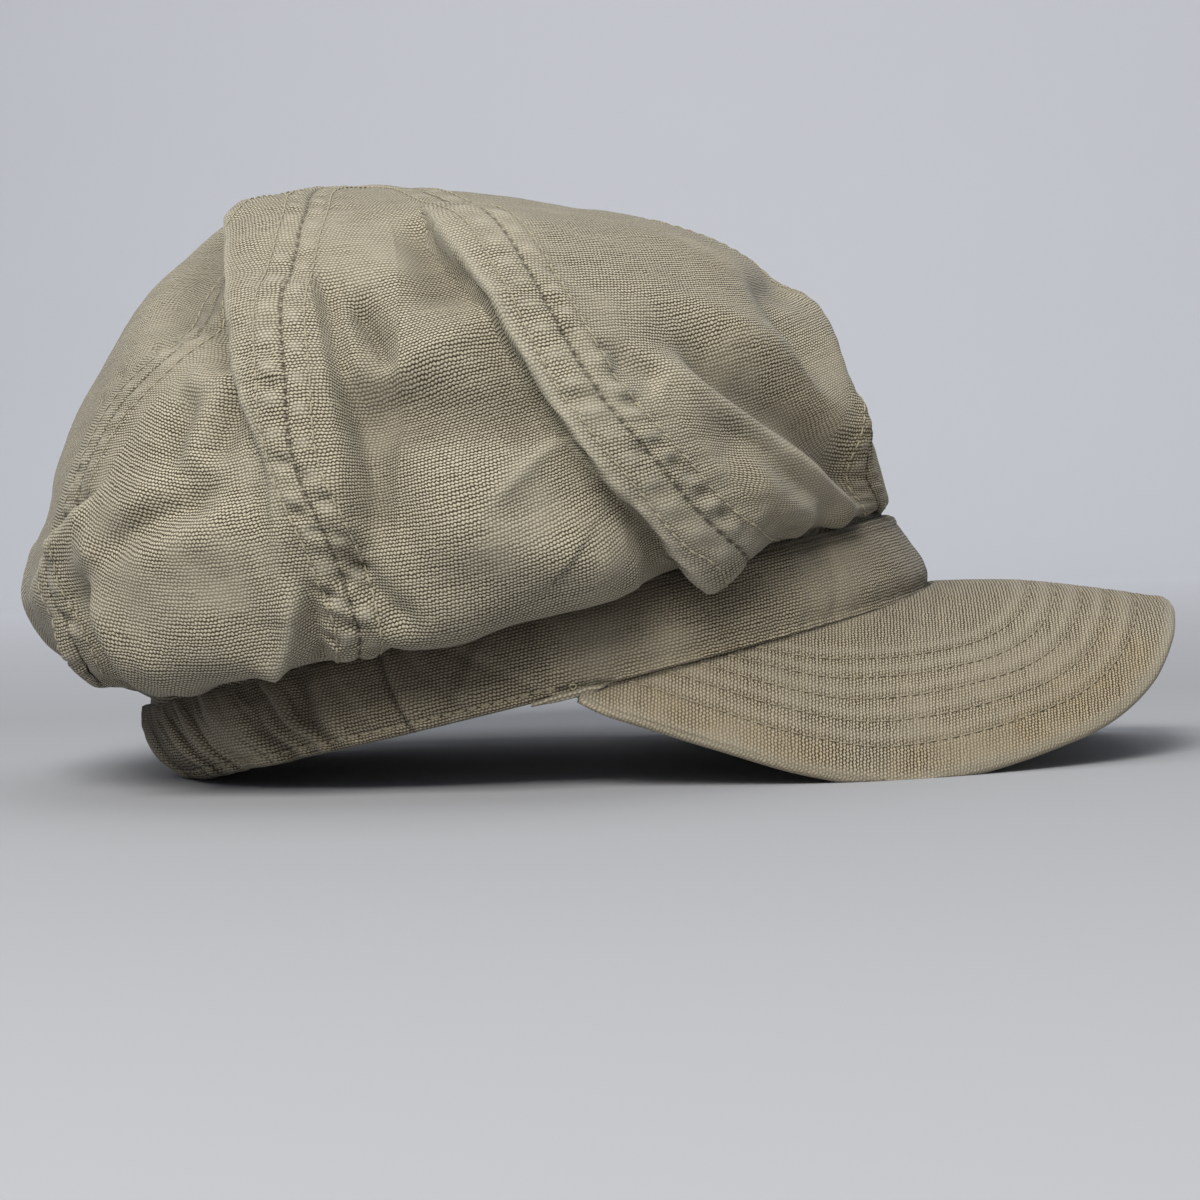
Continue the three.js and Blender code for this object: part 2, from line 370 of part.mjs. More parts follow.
// Crown panels.
const T_ROWS = [CROWN_START, 0.08, 0.15, 0.22, 0.3, 0.38, 0.46, 0.53, 0.6, 0.66, 0.72, 0.775, 0.825, 0.87, 0.91, 0.945, 0.975, 1];
const COLUMNS = [0, 0.06, 0.13, 0.25, 0.38, 0.5, 0.62, 0.75, 0.87, 0.94, 1];
const PANEL_COLUMNS = {
  panel_right_back: [0, 0.08, 0.18, 0.3, 0.42, 0.54, 0.64, 0.73, 0.81, 0.88, 0.94, 1],
  panel_right_mid: [0, 0.06, 0.12, 0.18, 0.26, 0.36, 0.47, 0.58, 0.69, 0.78, 0.85, 0.9, 0.95, 1],
  panel_right_front: [0, 0.08, 0.17, 0.26, 0.35, 0.44, 0.53, 0.62, 0.72, 0.82, 0.91, 1],
  panel_front: [0, 0.15, 0.32, 0.5, 0.68, 0.85, 1],
};
PANEL_NAMES.forEach((name, k) => {
  const outer = [], inner = [];
  const shares = PANEL_COLUMNS[name] ?? COLUMNS;
  T_ROWS.forEach((t, i) => {
    const dt = (T_ROWS[Math.min(T_ROWS.length - 1, i + 1)] - T_ROWS[Math.max(0, i - 1)]) / 2;
    const [backX, , frontX, , half] = smooth(CROWN_KEYS, CROWN_COLS, t);
    const r = ((frontX - backX) / 2 + half) / 2;
    const a0 = seamAngle(k, t) - (0.5 * GAP) / r, a1 = seamAngle(k + 1, t) + (0.5 * GAP) / r;
    const rowOut = [], rowIn = [];
    shares.forEach((s, j) => {
      const a = a0 + (a1 - a0) * s;
      const edge = j === 0 || j === shares.length - 1; // the same on both sides of a seam
      const da = edge ? rad(3) : ((a1 - a0) * (shares[j + 1] - shares[j - 1])) / 2;
      const p = crownBase(a, t), n = crownNormal(a, Math.max(t, 0.02));
      const h = facetHeight(a, t, da, dt) * step(1 - t, 0, 0.05);
      rowOut.push(p.clone().addScaledVector(n, h));
      rowIn.push(p.clone().addScaledVector(n, h - CLOTH));
    });
    outer.push(rowOut);
    inner.push(rowIn);
  });
  cap.add(wall(name, outer, inner, false, canvas));
});

// Headband: one folded strip round the head.
const bandAngles = Array.from({ length: 56 }, (_, i) => -rad((i * 360) / 56));
const inward = (p, d) => {
  const m = Math.hypot(p.x - 5, p.y * 1.2);
  return new THREE.Vector3(p.x - (d * (p.x - 5)) / m, p.y - (d * p.y * 1.2) / m, p.z);
};
const bandOuter = [0, 0.2, 0.4, 0.6, 0.8, 1].map((v) => bandAngles.map((a) => bandFace(a, v)));
const bandInner = bandOuter.map((row) => row.map((p) => inward(p, BAND_WALL)));
cap.add(wall("band", bandOuter, bandInner, true, bandCanvas));

// Peak: from under the band's lower edge out to its arched edge.
const bandFall = new THREE.Vector3(-(47.5 - 0.4), 0, 98.6 + 88.5).normalize(); // normal of the band's lower edge
function peakMiddle(deg, s, drop) {
  const side = Math.sign(deg) || 1, d = Math.abs(deg);
  const root = inward(bandFace(rad(deg), 1), 0.5 * BAND_WALL).addScaledVector(bandFall, -drop);
  const [x, y, z] = smooth(PEAK_KEYS, PEAK_COLS, d);
  const edge = new THREE.Vector3(x, -side * y, z);
  const along = edge.clone().sub(root);
  const arch = new THREE.Vector3(0, 0, 1).addScaledVector(new THREE.Vector3(0.25, -side, 0).normalize(), Math.sin(rad(Math.min(d, 80)))).normalize();
  const reach = Math.min(1, along.length() / 40);
  return root.addScaledVector(along, s).addScaledVector(arch, 4 * s * (1 - s) * PEAK_CROWNING * reach);
}
function peakNormal(deg, s, drop) {
  const e = 0.02, D = 1.0;
  const ds = peakMiddle(deg, Math.min(1, s + e), drop).sub(peakMiddle(deg, Math.max(0, s - e), drop));
  const dd = peakMiddle(Math.min(PEAK_END, deg + D), s, drop).sub(peakMiddle(Math.max(-PEAK_END, deg - D), s, drop));
  return dd.cross(ds).normalize();
}
const peakAngles = [];
for (let d = -PEAK_END; d <= PEAK_END + 0.01; d += (2 * PEAK_END) / 40) peakAngles.push(d);
// The root edge hangs just clear of the band, whichever way the peak's thickness is turned there.
const peakDrop = new Map(peakAngles.map((d) => [d, GAP + 0.5 * PEAK_THICK * Math.abs(peakNormal(d, 0, 1.5).dot(bandFall))]));
const peakTop = [], peakUnder = [];
for (const s of [0, 0.17, 0.34, 0.51, 0.68, 0.85, 1]) {
  const up = [], down = [];
  for (const d of peakAngles) {
    const p = peakMiddle(d, s, peakDrop.get(d));
    const n = peakNormal(d, s, peakDrop.get(d));
    const half = 0.5 * PEAK_THICK * (s > 0.99 ? 0.8 : 1);
    up.push(p.clone().addScaledVector(n, half));
    down.push(p.clone().addScaledVector(n, -half));
  }
  peakTop.push(up);
  peakUnder.push(down);
}
cap.add(wall("peak", peakTop, peakUnder, false, peakCanvas));

// Covered button over the point where the panels meet, on a short shank.
const profile = [
  [0, -6.2], [SHANK_R, -6.2], [SHANK_R, 0.9], [BUTTON_R - 0.8, 0.7], [BUTTON_R, 1.3], [BUTTON_R - 0.5, 2.2],
  [BUTTON_R * 0.72, BUTTON_H * 0.86 + 0.4], [BUTTON_R * 0.4, BUTTON_H + 0.2], [0, BUTTON_H + 0.4],
].map(([r, z]) => new THREE.Vector2(r, z));
const button = new THREE.Mesh(new THREE.LatheGeometry(profile, 24), canvas);
button.name = "top_button";
button.rotation.x = Math.PI / 2;
const seat = new THREE.Group();
seat.add(button);
seat.rotation.y = rad(REST_PITCH + 1.0);
seat.position.copy(rest(new THREE.Vector3(-40, 0, 148.1)));
cap.add(seat);

export default cap;
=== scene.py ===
"""Looks of a soft eight-panel canvas cap: crown panels with their folds and stitched seams, headband, peak and button."""

import math

import bpy
import numpy as np
from mathutils import Matrix


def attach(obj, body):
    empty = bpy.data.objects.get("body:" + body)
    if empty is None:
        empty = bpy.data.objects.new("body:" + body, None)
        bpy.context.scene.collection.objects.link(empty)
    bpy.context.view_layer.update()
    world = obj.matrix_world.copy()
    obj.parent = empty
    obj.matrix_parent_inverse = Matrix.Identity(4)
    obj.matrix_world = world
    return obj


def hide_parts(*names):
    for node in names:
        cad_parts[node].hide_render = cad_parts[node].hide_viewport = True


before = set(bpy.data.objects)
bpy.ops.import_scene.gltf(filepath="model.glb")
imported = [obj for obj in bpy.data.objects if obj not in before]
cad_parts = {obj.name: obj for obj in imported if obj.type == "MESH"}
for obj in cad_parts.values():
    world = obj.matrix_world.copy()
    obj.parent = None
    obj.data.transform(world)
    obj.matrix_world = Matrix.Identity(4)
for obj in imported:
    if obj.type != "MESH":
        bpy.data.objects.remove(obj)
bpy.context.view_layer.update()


RNG = np.random.default_rng(11)
D2R = math.pi / 180

# ---------------------------------------------------------------- how it rests (mm, as in the solids)
REST_PITCH = 1.95 * D2R
REST_BACK_X = -88.5
REST_DROP = 0.9
CENTRE_X = 17.31
CENTRE_Y = 0.43
MERIDIAN = 215.0
CLOTH = 1.5

# ---------------------------------------------------------------- form
# t, back x, back z, front x, front z, half width, side sag, fullness
CROWN = np.array([
    [0.00, -40.0, 148.0, -40.0, 148.0, 0.0, 0.0, 2.0],
    [0.08, -59.0, 147.0, -18.0, 146.5, 20.0, 0.5, 2.0],
    [0.20, -78.0, 141.0, 8.0, 143.5, 45.0, 2.0, 2.05],
    [0.33, -92.0, 127.0, 36.0, 138.5, 68.0, 3.0, 2.1],
    [0.46, -105.0, 109.0, 58.0, 128.0, 86.0, 2.0, 2.15],
    [0.58, -115.0, 90.0, 72.0, 113.0, 98.0, 0.0, 2.2],
    [0.69, -121.5, 72.0, 80.0, 98.0, 104.0, -2.0, 2.2],
    [0.79, -125.5, 56.0, 84.0, 85.0, 105.0, -5.0, 2.2],
    [0.87, -126.0, 43.0, 87.0, 74.0, 101.0, -8.5, 2.15],
    [0.94, -116.0, 30.5, 88.0, 69.5, 92.0, -9.0, 2.1],
    [1.00, -98.0, 20.4, 86.5, 68.0, 78.0, 0.0, 2.05],
])
# v from the band's top edge to its bottom edge: back x, back z, front x, front z, half width
BAND = np.array([
    [0.0, -99.5, 18.6, 88.5, 67.0, 79.0],
    [0.35, -98.6, 12.4, 94.0, 60.5, 80.0],
    [0.7, -95.0, 5.5, 98.6, 53.5, 80.2],
    [1.0, -88.5, 0.4, 98.6, 47.5, 79.4],
])
SEAM_T = [0, 0.2, 0.3, 0.4, 0.5, 0.6, 0.7, 0.8, 0.9, 1]
SEAMS = [
    ("right_rear", [150, 133, 128.5, 129, 125, 135.5, 140.5, 143.4, 141.8, 156]),
    ("right_mid_rear", [106, 108.5, 107, 106.2, 105.0, 102.3, 100.6, 96.7, 96.0, 105.5]),
    ("right_mid_fore", [71, 76, 76.4, 73.8, 72.3, 69.7, 65.4, 58.9, 51.2, 47.5]),
    ("right_fore", [12, 5, 2, 1, 2, 6, 13.5, 18, 14.5, 12]),
    ("left_fore", [-26, -28, -29, -29, -28, -26, -23, -21, -20, -21]),
    ("left_mid_fore", [-68, -72, -73, -71, -69, -66, -62, -58, -55, -57]),
    ("left_mid_rear", [-113, -110, -108, -106, -105, -104, -102, -100, -99, -103]),
    ("left_rear", [-152, -143, -138, -136, -135, -137, -140, -143, -145, -152]),
]
PANELS = [
    "panel_right_back", "panel_right_mid", "panel_right_front", "panel_front",
    "panel_left_front", "panel_left_mid", "panel_left_back", "panel_back",
]
# Lines that folds follow: knots t and angle a.
LINES = {
    "rear_pleat": ([0.19, 0.282, 0.389, 0.465, 0.541, 0.611, 0.664, 0.717, 0.767, 0.813, 0.87],
                   [138, 128.8, 119.4, 114.5, 110.7, 107.4, 105.1, 103.4, 102.6, 102.6, 103]),
    "rear_flank": ([0.42, 0.465, 0.515, 0.585, 0.652, 0.718, 0.779, 0.822, 0.87],
                   [102.6, 101.5, 99.8, 97.6, 96.0, 94.7, 94.3, 94.4, 94.6]),
    "fore_lip": ([0.30, 0.348, 0.438, 0.52, 0.576, 0.634, 0.704, 0.784, 0.844, 0.9, 0.962],
                 [82.2, 82.0, 80.0, 77.3, 75.4, 72.8, 69.8, 65.4, 60.3, 57.0, 54.7]),
    "left_lip": ([0.3, 0.5, 0.7, 0.85, 0.97], [-80, -77, -70, -65, -62]),
    "tail_lip": ([0.68, 0.74, 0.79, 0.85], [131, 137, 145.5, 154]),
}
# Cliffs in the cloth: the side towards the front stands h higher and fades over wf, the rear side drops within wb,
# shift is how far the lip hangs over the drop, and hollow and wh are the depth and width of the dip behind it.
LIPS = [
    # line, t start, t end, h, wf, wb, shift, hollow, wh
    ("fore_lip", 0.31, 1.02, 6.4, 22.0, 1.5, 3.4, 3.0, 9.0),
    ("rear_pleat", 0.20, 0.83, 4.6, 16.0, 1.7, 2.0, 2.2, 12.0),
    ("left_lip", 0.32, 1.0, 4.8, 22.0, 2.2, 1.6, 2.4, 12.0),
    ("tail_lip", 0.69, 0.86, 2.4, 14.0, 1.6, 1.2, 0.8, 6.0),
]
# Ridges and valleys: points t and a along the crest, height, the width on its right (walking down the list, seen from
# outside), the width on its left, and sharpness (2 round, lower crisper).
FOLDS = [
    ("fore_ridge_1", [0.595, 0.631, 0.672, 0.725, 0.787, 0.835, 0.898, 0.965], [63.6, 57.9, 52.5, 46.5, 39.9, 33.7, 25.1, 17.5], 4.42, 4.2, 7.0, 1.35),
    ("fore_valley_1", [0.572, 0.594, 0.61, 0.661, 0.706, 0.754, 0.815, 0.885, 0.95], [63.5, 58.2, 51.9, 48, 41.5, 34, 26.7, 19.1, 13], -6.7, 8.0, 5.0, 1.9),
    ("fore_ridge_2", [0.509, 0.539, 0.574, 0.615, 0.651, 0.706, 0.771, 0.849, 0.93], [61.6, 52.7, 45.2, 37, 31.2, 27, 21.9, 13.7, 8], 3.64, 8.0, 7.0, 1.8),
    ("fore_valley_2", [0.46, 0.5, 0.53, 0.582, 0.639, 0.69, 0.733], [-6, 12, 25, 26.8, 27.1, 25.2, 21.4], -3.64, 6.0, 6.0, 1.8),
    ("fore_ridge_3", [0.5, 0.54, 0.591, 0.655, 0.712, 0.767, 0.83], [-4, 9.5, 14.1, 18.6, 18.9, 17.1, 12], 3.9, 5.0, 6.0, 1.8),
    ("fore_valley_3", [0.56, 0.596, 0.641, 0.702, 0.786, 0.86], [1, 5.1, 5.9, 8.7, 13.1, 12], -3.38, 5.0, 5.0, 1.8),
    ("fore_valley_0", [0.69, 0.707, 0.74, 0.779, 0.829, 0.878, 0.94], [56.5, 54, 49.6, 43.8, 38.6, 32.9, 26], -4.68, 3.6, 6.0, 1.7),
    ("fore_ridge_0", [0.78, 0.797, 0.832, 0.868, 0.93], [51.4, 48.4, 44.4, 39.6, 32.6], 3.12, 5.0, 6.0, 1.8),
    ("fore_valley_00", [0.86, 0.88, 0.91, 0.95], [47.5, 45.6, 42.5, 38.9], -2.34, 3.0, 4.0, 1.8),
    ("fore_blob", [0.62, 0.641, 0.668], [65.9, 61.5, 57.5], -3.12, 3.6, 3.6, 2.0),
    ("mid_line", [0.47, 0.496, 0.537, 0.579, 0.6], [96.7, 95.4, 93, 91.1, 90.3], -2.84, 3.2, 2.0, 1.6),
    ("mid_line_ridge", [0.46, 0.5, 0.55, 0.61], [98.6, 97.4, 95.5, 93.9], 2.08, 2.6, 3.0, 1.8),
    ("mid_valley", [0.61, 0.625, 0.644, 0.664, 0.686, 0.73], [98, 94, 89.9, 83.6, 76.7, 70], -5.5, 9.0, 9.0, 1.9),
    ("mid_arc", [0.6, 0.597, 0.583, 0.562, 0.527, 0.49], [96, 92.7, 88.9, 84.2, 77.1, 75], 3.29, 7.0, 5.0, 1.9),
    ("mid_dimple", [0.33, 0.37, 0.442, 0.528], [85.2, 85.2, 85.6, 85.1], -3.12, 6.0, 6.0, 2.0),
    ("mid_diag_ridge", [0.8, 0.787, 0.755, 0.717, 0.7], [82.5, 80.8, 77.1, 72.5, 70], 2.21, 6.0, 2.6, 1.5),
    ("mid_bright", [0.765, 0.775, 0.808, 0.838, 0.872, 0.905], [92, 89.3, 83.9, 77.4, 68.2, 61], 4.3, 8.0, 9.0, 2.0),
    ("mid_low_valley", [0.86, 0.865, 0.869, 0.888], [92, 88.6, 80.1, 68], -0.8, 5.0, 6.0, 2.0),
    ("flank_low", [0.79, 0.827, 0.866, 0.91], [96, 94.5, 92.3, 89], -4.16, 4.0, 4.0, 1.8),
    ("flank_soft", [0.58, 0.629, 0.696, 0.76, 0.83], [96, 94.8, 92.8, 91.6, 91], -3.12, 8.0, 5.0, 2.0),
    ("rear_top_hollow", [0.16, 0.22, 0.3, 0.38, 0.46, 0.54], [162, 152, 142, 134.5, 128.5, 123], -5.98, 11.0, 10.0, 2.0),
    ("strip_dip", [0.36, 0.42, 0.48], [108, 107, 106], -0.91, 6.0, 6.0, 2.0),
    ("rear_patch", [0.43, 0.488, 0.522, 0.549, 0.565], [122, 118, 115.1, 113.2, 112], -3.9, 5.0, 6.5, 2.0),
    ("rear_patch_lip", [0.557, 0.572, 0.588], [122, 116.5, 111], 2.34, 4.0, 4.0, 1.7),
    ("rear_streak_1", [0.575, 0.602, 0.634, 0.665, 0.69], [118.9, 119.2, 120, 120.2, 120.4], -2.47, 3.6, 3.6, 2.0),
    ("rear_streak_2", [0.575, 0.6, 0.631, 0.661, 0.69], [110.4, 110.8, 111.7, 112.6, 113.4], -2.21, 3.6, 3.6, 2.0),
    ("rear_streak_ridge", [0.58, 0.61, 0.65, 0.7], [115, 115.4, 116.2, 116.6], 1.56, 4.0, 4.0, 2.0),
    ("rear_diag_valley", [0.785, 0.772, 0.75, 0.735, 0.707], [133, 128.7, 121.7, 116.1, 110], -3.9, 4.0, 5.0, 1.8),
    ("rear_diag_low", [0.825, 0.808, 0.78, 0.753, 0.735], [134, 128.5, 117.9, 109.1, 105], 2.86, 4.0, 9.0, 1.9),
    ("rear_diag_high", [0.8, 0.786, 0.751, 0.709, 0.68], [138, 133.6, 125.8, 121.5, 119.5], 2.47, 5.0, 3.6, 1.8),
    ("rear_seam_dark", [0.76, 0.747, 0.718, 0.682], [149, 145.5, 139.2, 137.5], -2.34, 3.0, 3.0, 1.9),
    ("rear_seam_light", [0.79, 0.775, 0.748, 0.722], [145, 141.3, 136.1, 132.4], 2.08, 3.4, 3.0, 1.8),
    ("mid_low_belly", [0.86, 0.885, 0.89, 0.885, 0.87], [101, 92, 82, 72, 62], 2.6, 9.0, 11.0, 2.0),
    ("rear_low_belly", [0.86, 0.885, 0.89, 0.88], [134, 124, 114, 105], 2.2, 9.0, 11.0, 2.0),
    ("mid_belly", [0.64, 0.76, 0.86, 0.95], [86, 85, 83, 81], 2.4, 22.0, 20.0, 2.0),
    ("rear_belly", [0.7, 0.8, 0.88, 0.95], [114, 116, 118, 121], 3.2, 18.0, 18.0, 2.0),
    ("tail_dark", [0.79, 0.824, 0.866, 0.9, 0.948], [136.4, 134.9, 133.5, 132.6, 136.3], -5.08, 3.4, 7.0, 1.7),
    ("tail_ridge", [0.8, 0.833, 0.876, 0.93, 0.98], [131.4, 130.2, 127.8, 129, 133], 3.89, 6.0, 3.0, 1.7),
    ("tail_fold_2", [0.85, 0.89, 0.93, 0.97], [143, 144, 147, 151], 2.6, 4.0, 4.0, 1.8),
    ("tail_fold_3", [0.86, 0.9, 0.94, 0.98], [122, 122.5, 124, 126], 1.56, 4.0, 4.0, 1.8),
    ("rear_corner", [0.82, 0.856, 0.882, 0.909, 0.946], [101.2, 101.4, 102.8, 105.6, 112.7], 4.19, 2.0, 4.5, 1.5),
    ("rear_corner_dark", [0.83, 0.86, 0.89, 0.922, 0.96], [99.2, 99.9, 100.7, 102.2, 106], -2.99, 2.0, 1.8, 1.6),
    ("seam_foot", [0.88, 0.91, 0.94, 0.98], [96.5, 95.8, 95.5, 95.5], -1.56, 3.0, 3.0, 1.8),
    ("front_hollow", [0.58, 0.68, 0.8, 0.93], [-4, -4, -3, -3], -2.2, 9.0, 8.0, 2.0),
    ("front_ridge", [0.6, 0.72, 0.84, 0.97], [-13, -12, -10, -9], 2.0, 6.0, 6.0, 1.7),
    ("front_crease", [0.74, 0.82, 0.9, 0.98], [6, 5, 4, 3.5], 1.5, 3.0, 4.0, 1.6),
    ("left_rear_ridge", [0.24, 0.46, 0.7, 0.94], [-110, -106, -103, -101], 3.8, 7.0, 7.0, 1.8),
    ("left_rear_hollow", [0.38, 0.48, 0.58, 0.7], [-121, -120, -119, -119], -3.0, 8.0, 11.0, 2.0),
    ("left_mid_belly", [0.66, 0.76, 0.86, 0.97], [-86, -86, -85, -84], 3.0, 20.0, 20.0, 2.0),
    ("left_mid_dart", [0.36, 0.46, 0.56, 0.66], [-93, -92, -90, -89], -2.2, 6.0, 7.0, 1.8),
    ("left_mid_valley", [0.6, 0.64, 0.67, 0.72], [-97, -90, -83, -74], -2.8, 8.0, 8.0, 2.0),
    ("left_mid_bright", [0.74, 0.77, 0.81, 0.86], [-92, -85, -78, -68], 2.4, 8.0, 8.0, 2.0),
    ("left_fore_ridge", [0.54, 0.64, 0.76, 0.95], [-56, -46, -36, -26], 3.2, 6.0, 5.0, 1.5),
    ("left_fore_valley", [0.56, 0.66, 0.78, 0.95], [-48, -38, -28, -19], -3.4, 6.0, 7.0, 1.8),
    ("left_fore_valley_0", [0.7, 0.77, 0.85, 0.94], [-52, -45, -37, -30], -2.8, 5.0, 4.0, 1.8),
    ("left_fore_ridge_2", [0.48, 0.56, 0.66, 0.82], [-52, -41, -31, -18], 2.2, 8.0, 7.0, 1.8),
    ("left_low_ridge", [0.76, 0.84, 0.91, 0.98], [-116, -118, -121, -125], 2.0, 4.0, 6.0, 1.6),
    ("left_drag", [0.66, 0.71, 0.76, 0.82], [-112, -119, -127, -136], -2.2, 6.0, 6.0, 1.9),
    ("left_drag_2", [0.7, 0.75, 0.8, 0.86], [-110, -117, -125, -134], 1.8, 6.0, 6.0, 1.9),
    ("left_belly", [0.7, 0.8, 0.88, 0.95], [-114, -116, -118, -121], 2.8, 18.0, 18.0, 2.0),
    ("left_tail", [0.8, 0.86, 0.92, 0.98], [-133, -133, -135, -140], -2.8, 6.0, 4.0, 1.7),
    ("back_hollow", [0.4, 0.54, 0.68, 0.8], [178, 177, 178, 180], -2.4, 14.0, 14.0, 2.0),
    ("back_cross", [0.7, 0.72, 0.73, 0.72, 0.7], [152, 163, 178, 193, 205], -2.2, 6.0, 7.0, 2.0),
    ("back_fold_1", [0.7, 0.8, 0.9, 0.98], [168, 169, 171, 172], 2.2, 5.0, 7.0, 1.6),
    ("back_fold_2", [0.72, 0.82, 0.91, 0.98], [191, 189, 187, 186], 2.2, 6.0, 5.0, 1.6),
    ("back_fold_3", [0.8, 0.87, 0.93, 0.98], [160, 162, 164, 166], -1.8, 5.0, 5.0, 1.8),
    ("back_fold_4", [0.8, 0.87, 0.93, 0.98], [199, 198, 197, 196], -1.8, 5.0, 5.0, 1.8),
]
# Where the crown's lower edge hangs lower over the band: angle and drop.
DROOP_A = [-180, -140, -100, -60, -20, 0, 20, 40, 46, 49, 50.5, 52, 53.5, 55, 57, 58.5, 60, 61.5, 62.8, 64, 65.5, 68, 76, 90, 102, 115, 132, 145, 160, 180]
DROOP_Z = [0, 0.5, 2.5, 2.5, 0.5, 0, 0, 0, 0, 0.2, 0.4, 0.8, 1.4, 2.2, 3.2, 3.2, 2.4, 1.2, 0.8, 1.6, 3.0, 3.2, 2.8, 2.2, 1.6, 1.6, 0.8, 0.4, 0, 0]
# Puckers beside the seams: t, a, depth.
PITS = [
    (0.606, 103.8, 1.0), (0.603, 100.3, 0.6), (0.701, 101.7, 1.2), (0.720, 99.3, 0.9), (0.762, 99.7, 1.3),
    (0.753, 96.7, 1.2), (0.785, 98.0, 1.0), (0.794, 95.5, 1.0), (0.852, 97.5, 1.5), (0.833, 93.9, 1.8),
    (0.842, 95.4, 1.3), (0.900, 99.3, 1.1), (0.888, 95.9, 1.2),
    (0.499, 69.5, 1.0), (0.522, 74.3, 0.8), (0.550, 70.3, 0.7), (0.592, 69.4, 0.8), (0.612, 65.4, 1.1),
    (0.671, 69.1, 0.9), (0.676, 67.2, 0.7), (0.688, 63.5, 1.3), (0.655, 64.2, 0.9), (0.752, 62.9, 1.1),
    (0.748, 60.8, 0.9), (0.774, 58.8, 1.4), (0.794, 57.0, 1.0), (0.818, 55.4, 1.0), (0.846, 52.9, 0.9), (0.871, 50.2, 0.8),
    (0.428, 137.5, 0.8), (0.494, 125.2, 1.1), (0.503, 129.5, 1.1), (0.504, 133.5, 0.9), (0.679, 142.8, 1.2),
    (0.666, 141.8, 0.8), (0.732, 144.0, 1.1), (0.539, 139.4, 0.8), (0.569, 143.4, 0.8), (0.86, 140.5, 1.0), (0.91, 144.0, 1.0),
]
# Creases across the band: angle, depth, lean, width.
CREASES = [
    (105.2, 1.3, 0.10, 0.55), (96.5, 0.9, 0.75, 1.7), (92.0, 0.8, -0.60, 1.7), (86.0, 0.5, 0.2, 1.4), (99.5, 0.5, -0.3, 1.2),
    (112.0, 0.6, -0.15, 1.5), (118.0, 0.8, 0.2, 1.6), (123.5, 0.9, -0.2, 1.4), (62.0, 0.25, -0.3, 1.2), (40.0, 0.3, 0.5, 1.5),
    (-104.0, 1.0, -0.2, 0.6), (-96.0, 0.7, 0.5, 1.6), (-88.0, 0.6, -0.4, 1.6), (180.0, 0.9, 0.0, 0.6),
]
SEAM_ALLOW = 5.9  # pressed-open allowance on each side of a seam
ROW_AT = 5.0  # stitch row from the seam


# ---------------------------------------------------------------- maths
def cubic(tab, x):
    """Smooth curve through table rows, for the keys x."""
    x = np.asarray(x, float)
    k, v = tab[:, 0], tab[:, 1:]
    n = len(k)
    d = (v[1:] - v[:-1]) / (k[1:] - k[:-1])[:, None]
    h = k[1:] - k[:-1]
    m = np.zeros_like(v)
    m[0], m[-1] = d[0], d[-1]
    m[1:-1] = (d[:-1] * h[1:, None] + d[1:] * h[:-1, None]) / (h[1:] + h[:-1])[:, None]
    i = np.clip(np.searchsorted(k, x, side="right") - 1, 0, n - 2)
    w = k[i + 1] - k[i]
    s = ((x - k[i]) / w)[..., None]
    return (
        (2 * s**3 - 3 * s**2 + 1) * v[i]
        + (s**3 - 2 * s**2 + s) * m[i] * w[..., None]
        + (-2 * s**3 + 3 * s**2) * v[i + 1]
        + (s**3 - s**2) * m[i + 1] * w[..., None]
    )


def curve(keys, vals, x):
    """Value and slope of a smooth one-column table, held level past its ends."""
    tab = np.array([keys, vals], float).T
    xc = np.clip(x, keys[0], keys[-1])
    e = 1e-3
    v = cubic(tab, xc)[..., 0]
    s = (cubic(tab, np.minimum(xc + e, keys[-1]))[..., 0] - cubic(tab, np.maximum(xc - e, keys[0]))[..., 0]) / (2 * e)
    return v, s


def step(x, a, b):
    """Smooth step from 0 at a to 1 at b."""
    s = np.clip((x - a) / (b - a), 0, 1)
    return s * s * (3 - 2 * s)


def unit(v):
    return v / (np.linalg.norm(v, axis=-1, keepdims=True) + 1e-12)


PERM = np.random.default_rng(5).permutation(1024)
LATTICE = np.random.default_rng(6).uniform(-1, 1, 1024)


def noise(p, scale, seed=0):
    """Smooth 3-D noise from -1 to 1; scale in mm, one number or three."""
    q = np.asarray(p, float) / np.asarray(scale, float) + 37.7 * (seed + 1)
    i = np.floor(q).astype(int)
    f = q - i
    f = f**3 * (f * (6 * f - 15) + 10)
    out = 0.0
    for dx in (0, 1):
        wx = f[..., 0] if dx else 1 - f[..., 0]
        hx = PERM[(i[..., 0] + dx) & 1023]
        for dy in (0, 1):
            wy = f[..., 1] if dy else 1 - f[..., 1]
            hy = PERM[(hx + i[..., 1] + dy) & 1023]
            for dz in (0, 1):
                wz = f[..., 2] if dz else 1 - f[..., 2]
                out = out + wx * wy * wz * LATTICE[PERM[(hy + i[..., 2] + dz + seed * 131) & 1023]]
    return out


def ring(al, xb, zb, xf, zf, b, zs, n):
    c, s = np.cos(al), np.sin(al)
    C = np.sign(c) * np.abs(c) ** (2 / n)
    S = np.sign(s) * np.abs(s) ** (2 / n)
    x = (xb + xf) / 2 + (xf - xb) / 2 * C
    z = (zb + zf) / 2 + (zf - zb) / 2 * C + zs * np.abs(S) ** 2 * (1 - 0.7 * C)
    return np.stack([x, -b * S, z], -1)


def crown_base(a, t):
    r = cubic(CROWN, t)
    p = ring(a, *[r[..., i] for i in range(7)])
    hang = cubic(np.column_stack([DROOP_A, DROOP_Z]), np.degrees(np.arctan2(np.sin(a), np.cos(a))))[..., 0]
    p[..., 2] -= hang * np.exp(-(((t - 0.915) / 0.055) ** 2))
    return p


def band_face(a, v):
    r = cubic(BAND, v)
    return ring(a, *[r[..., i] for i in range(5)], 0, 2.05)


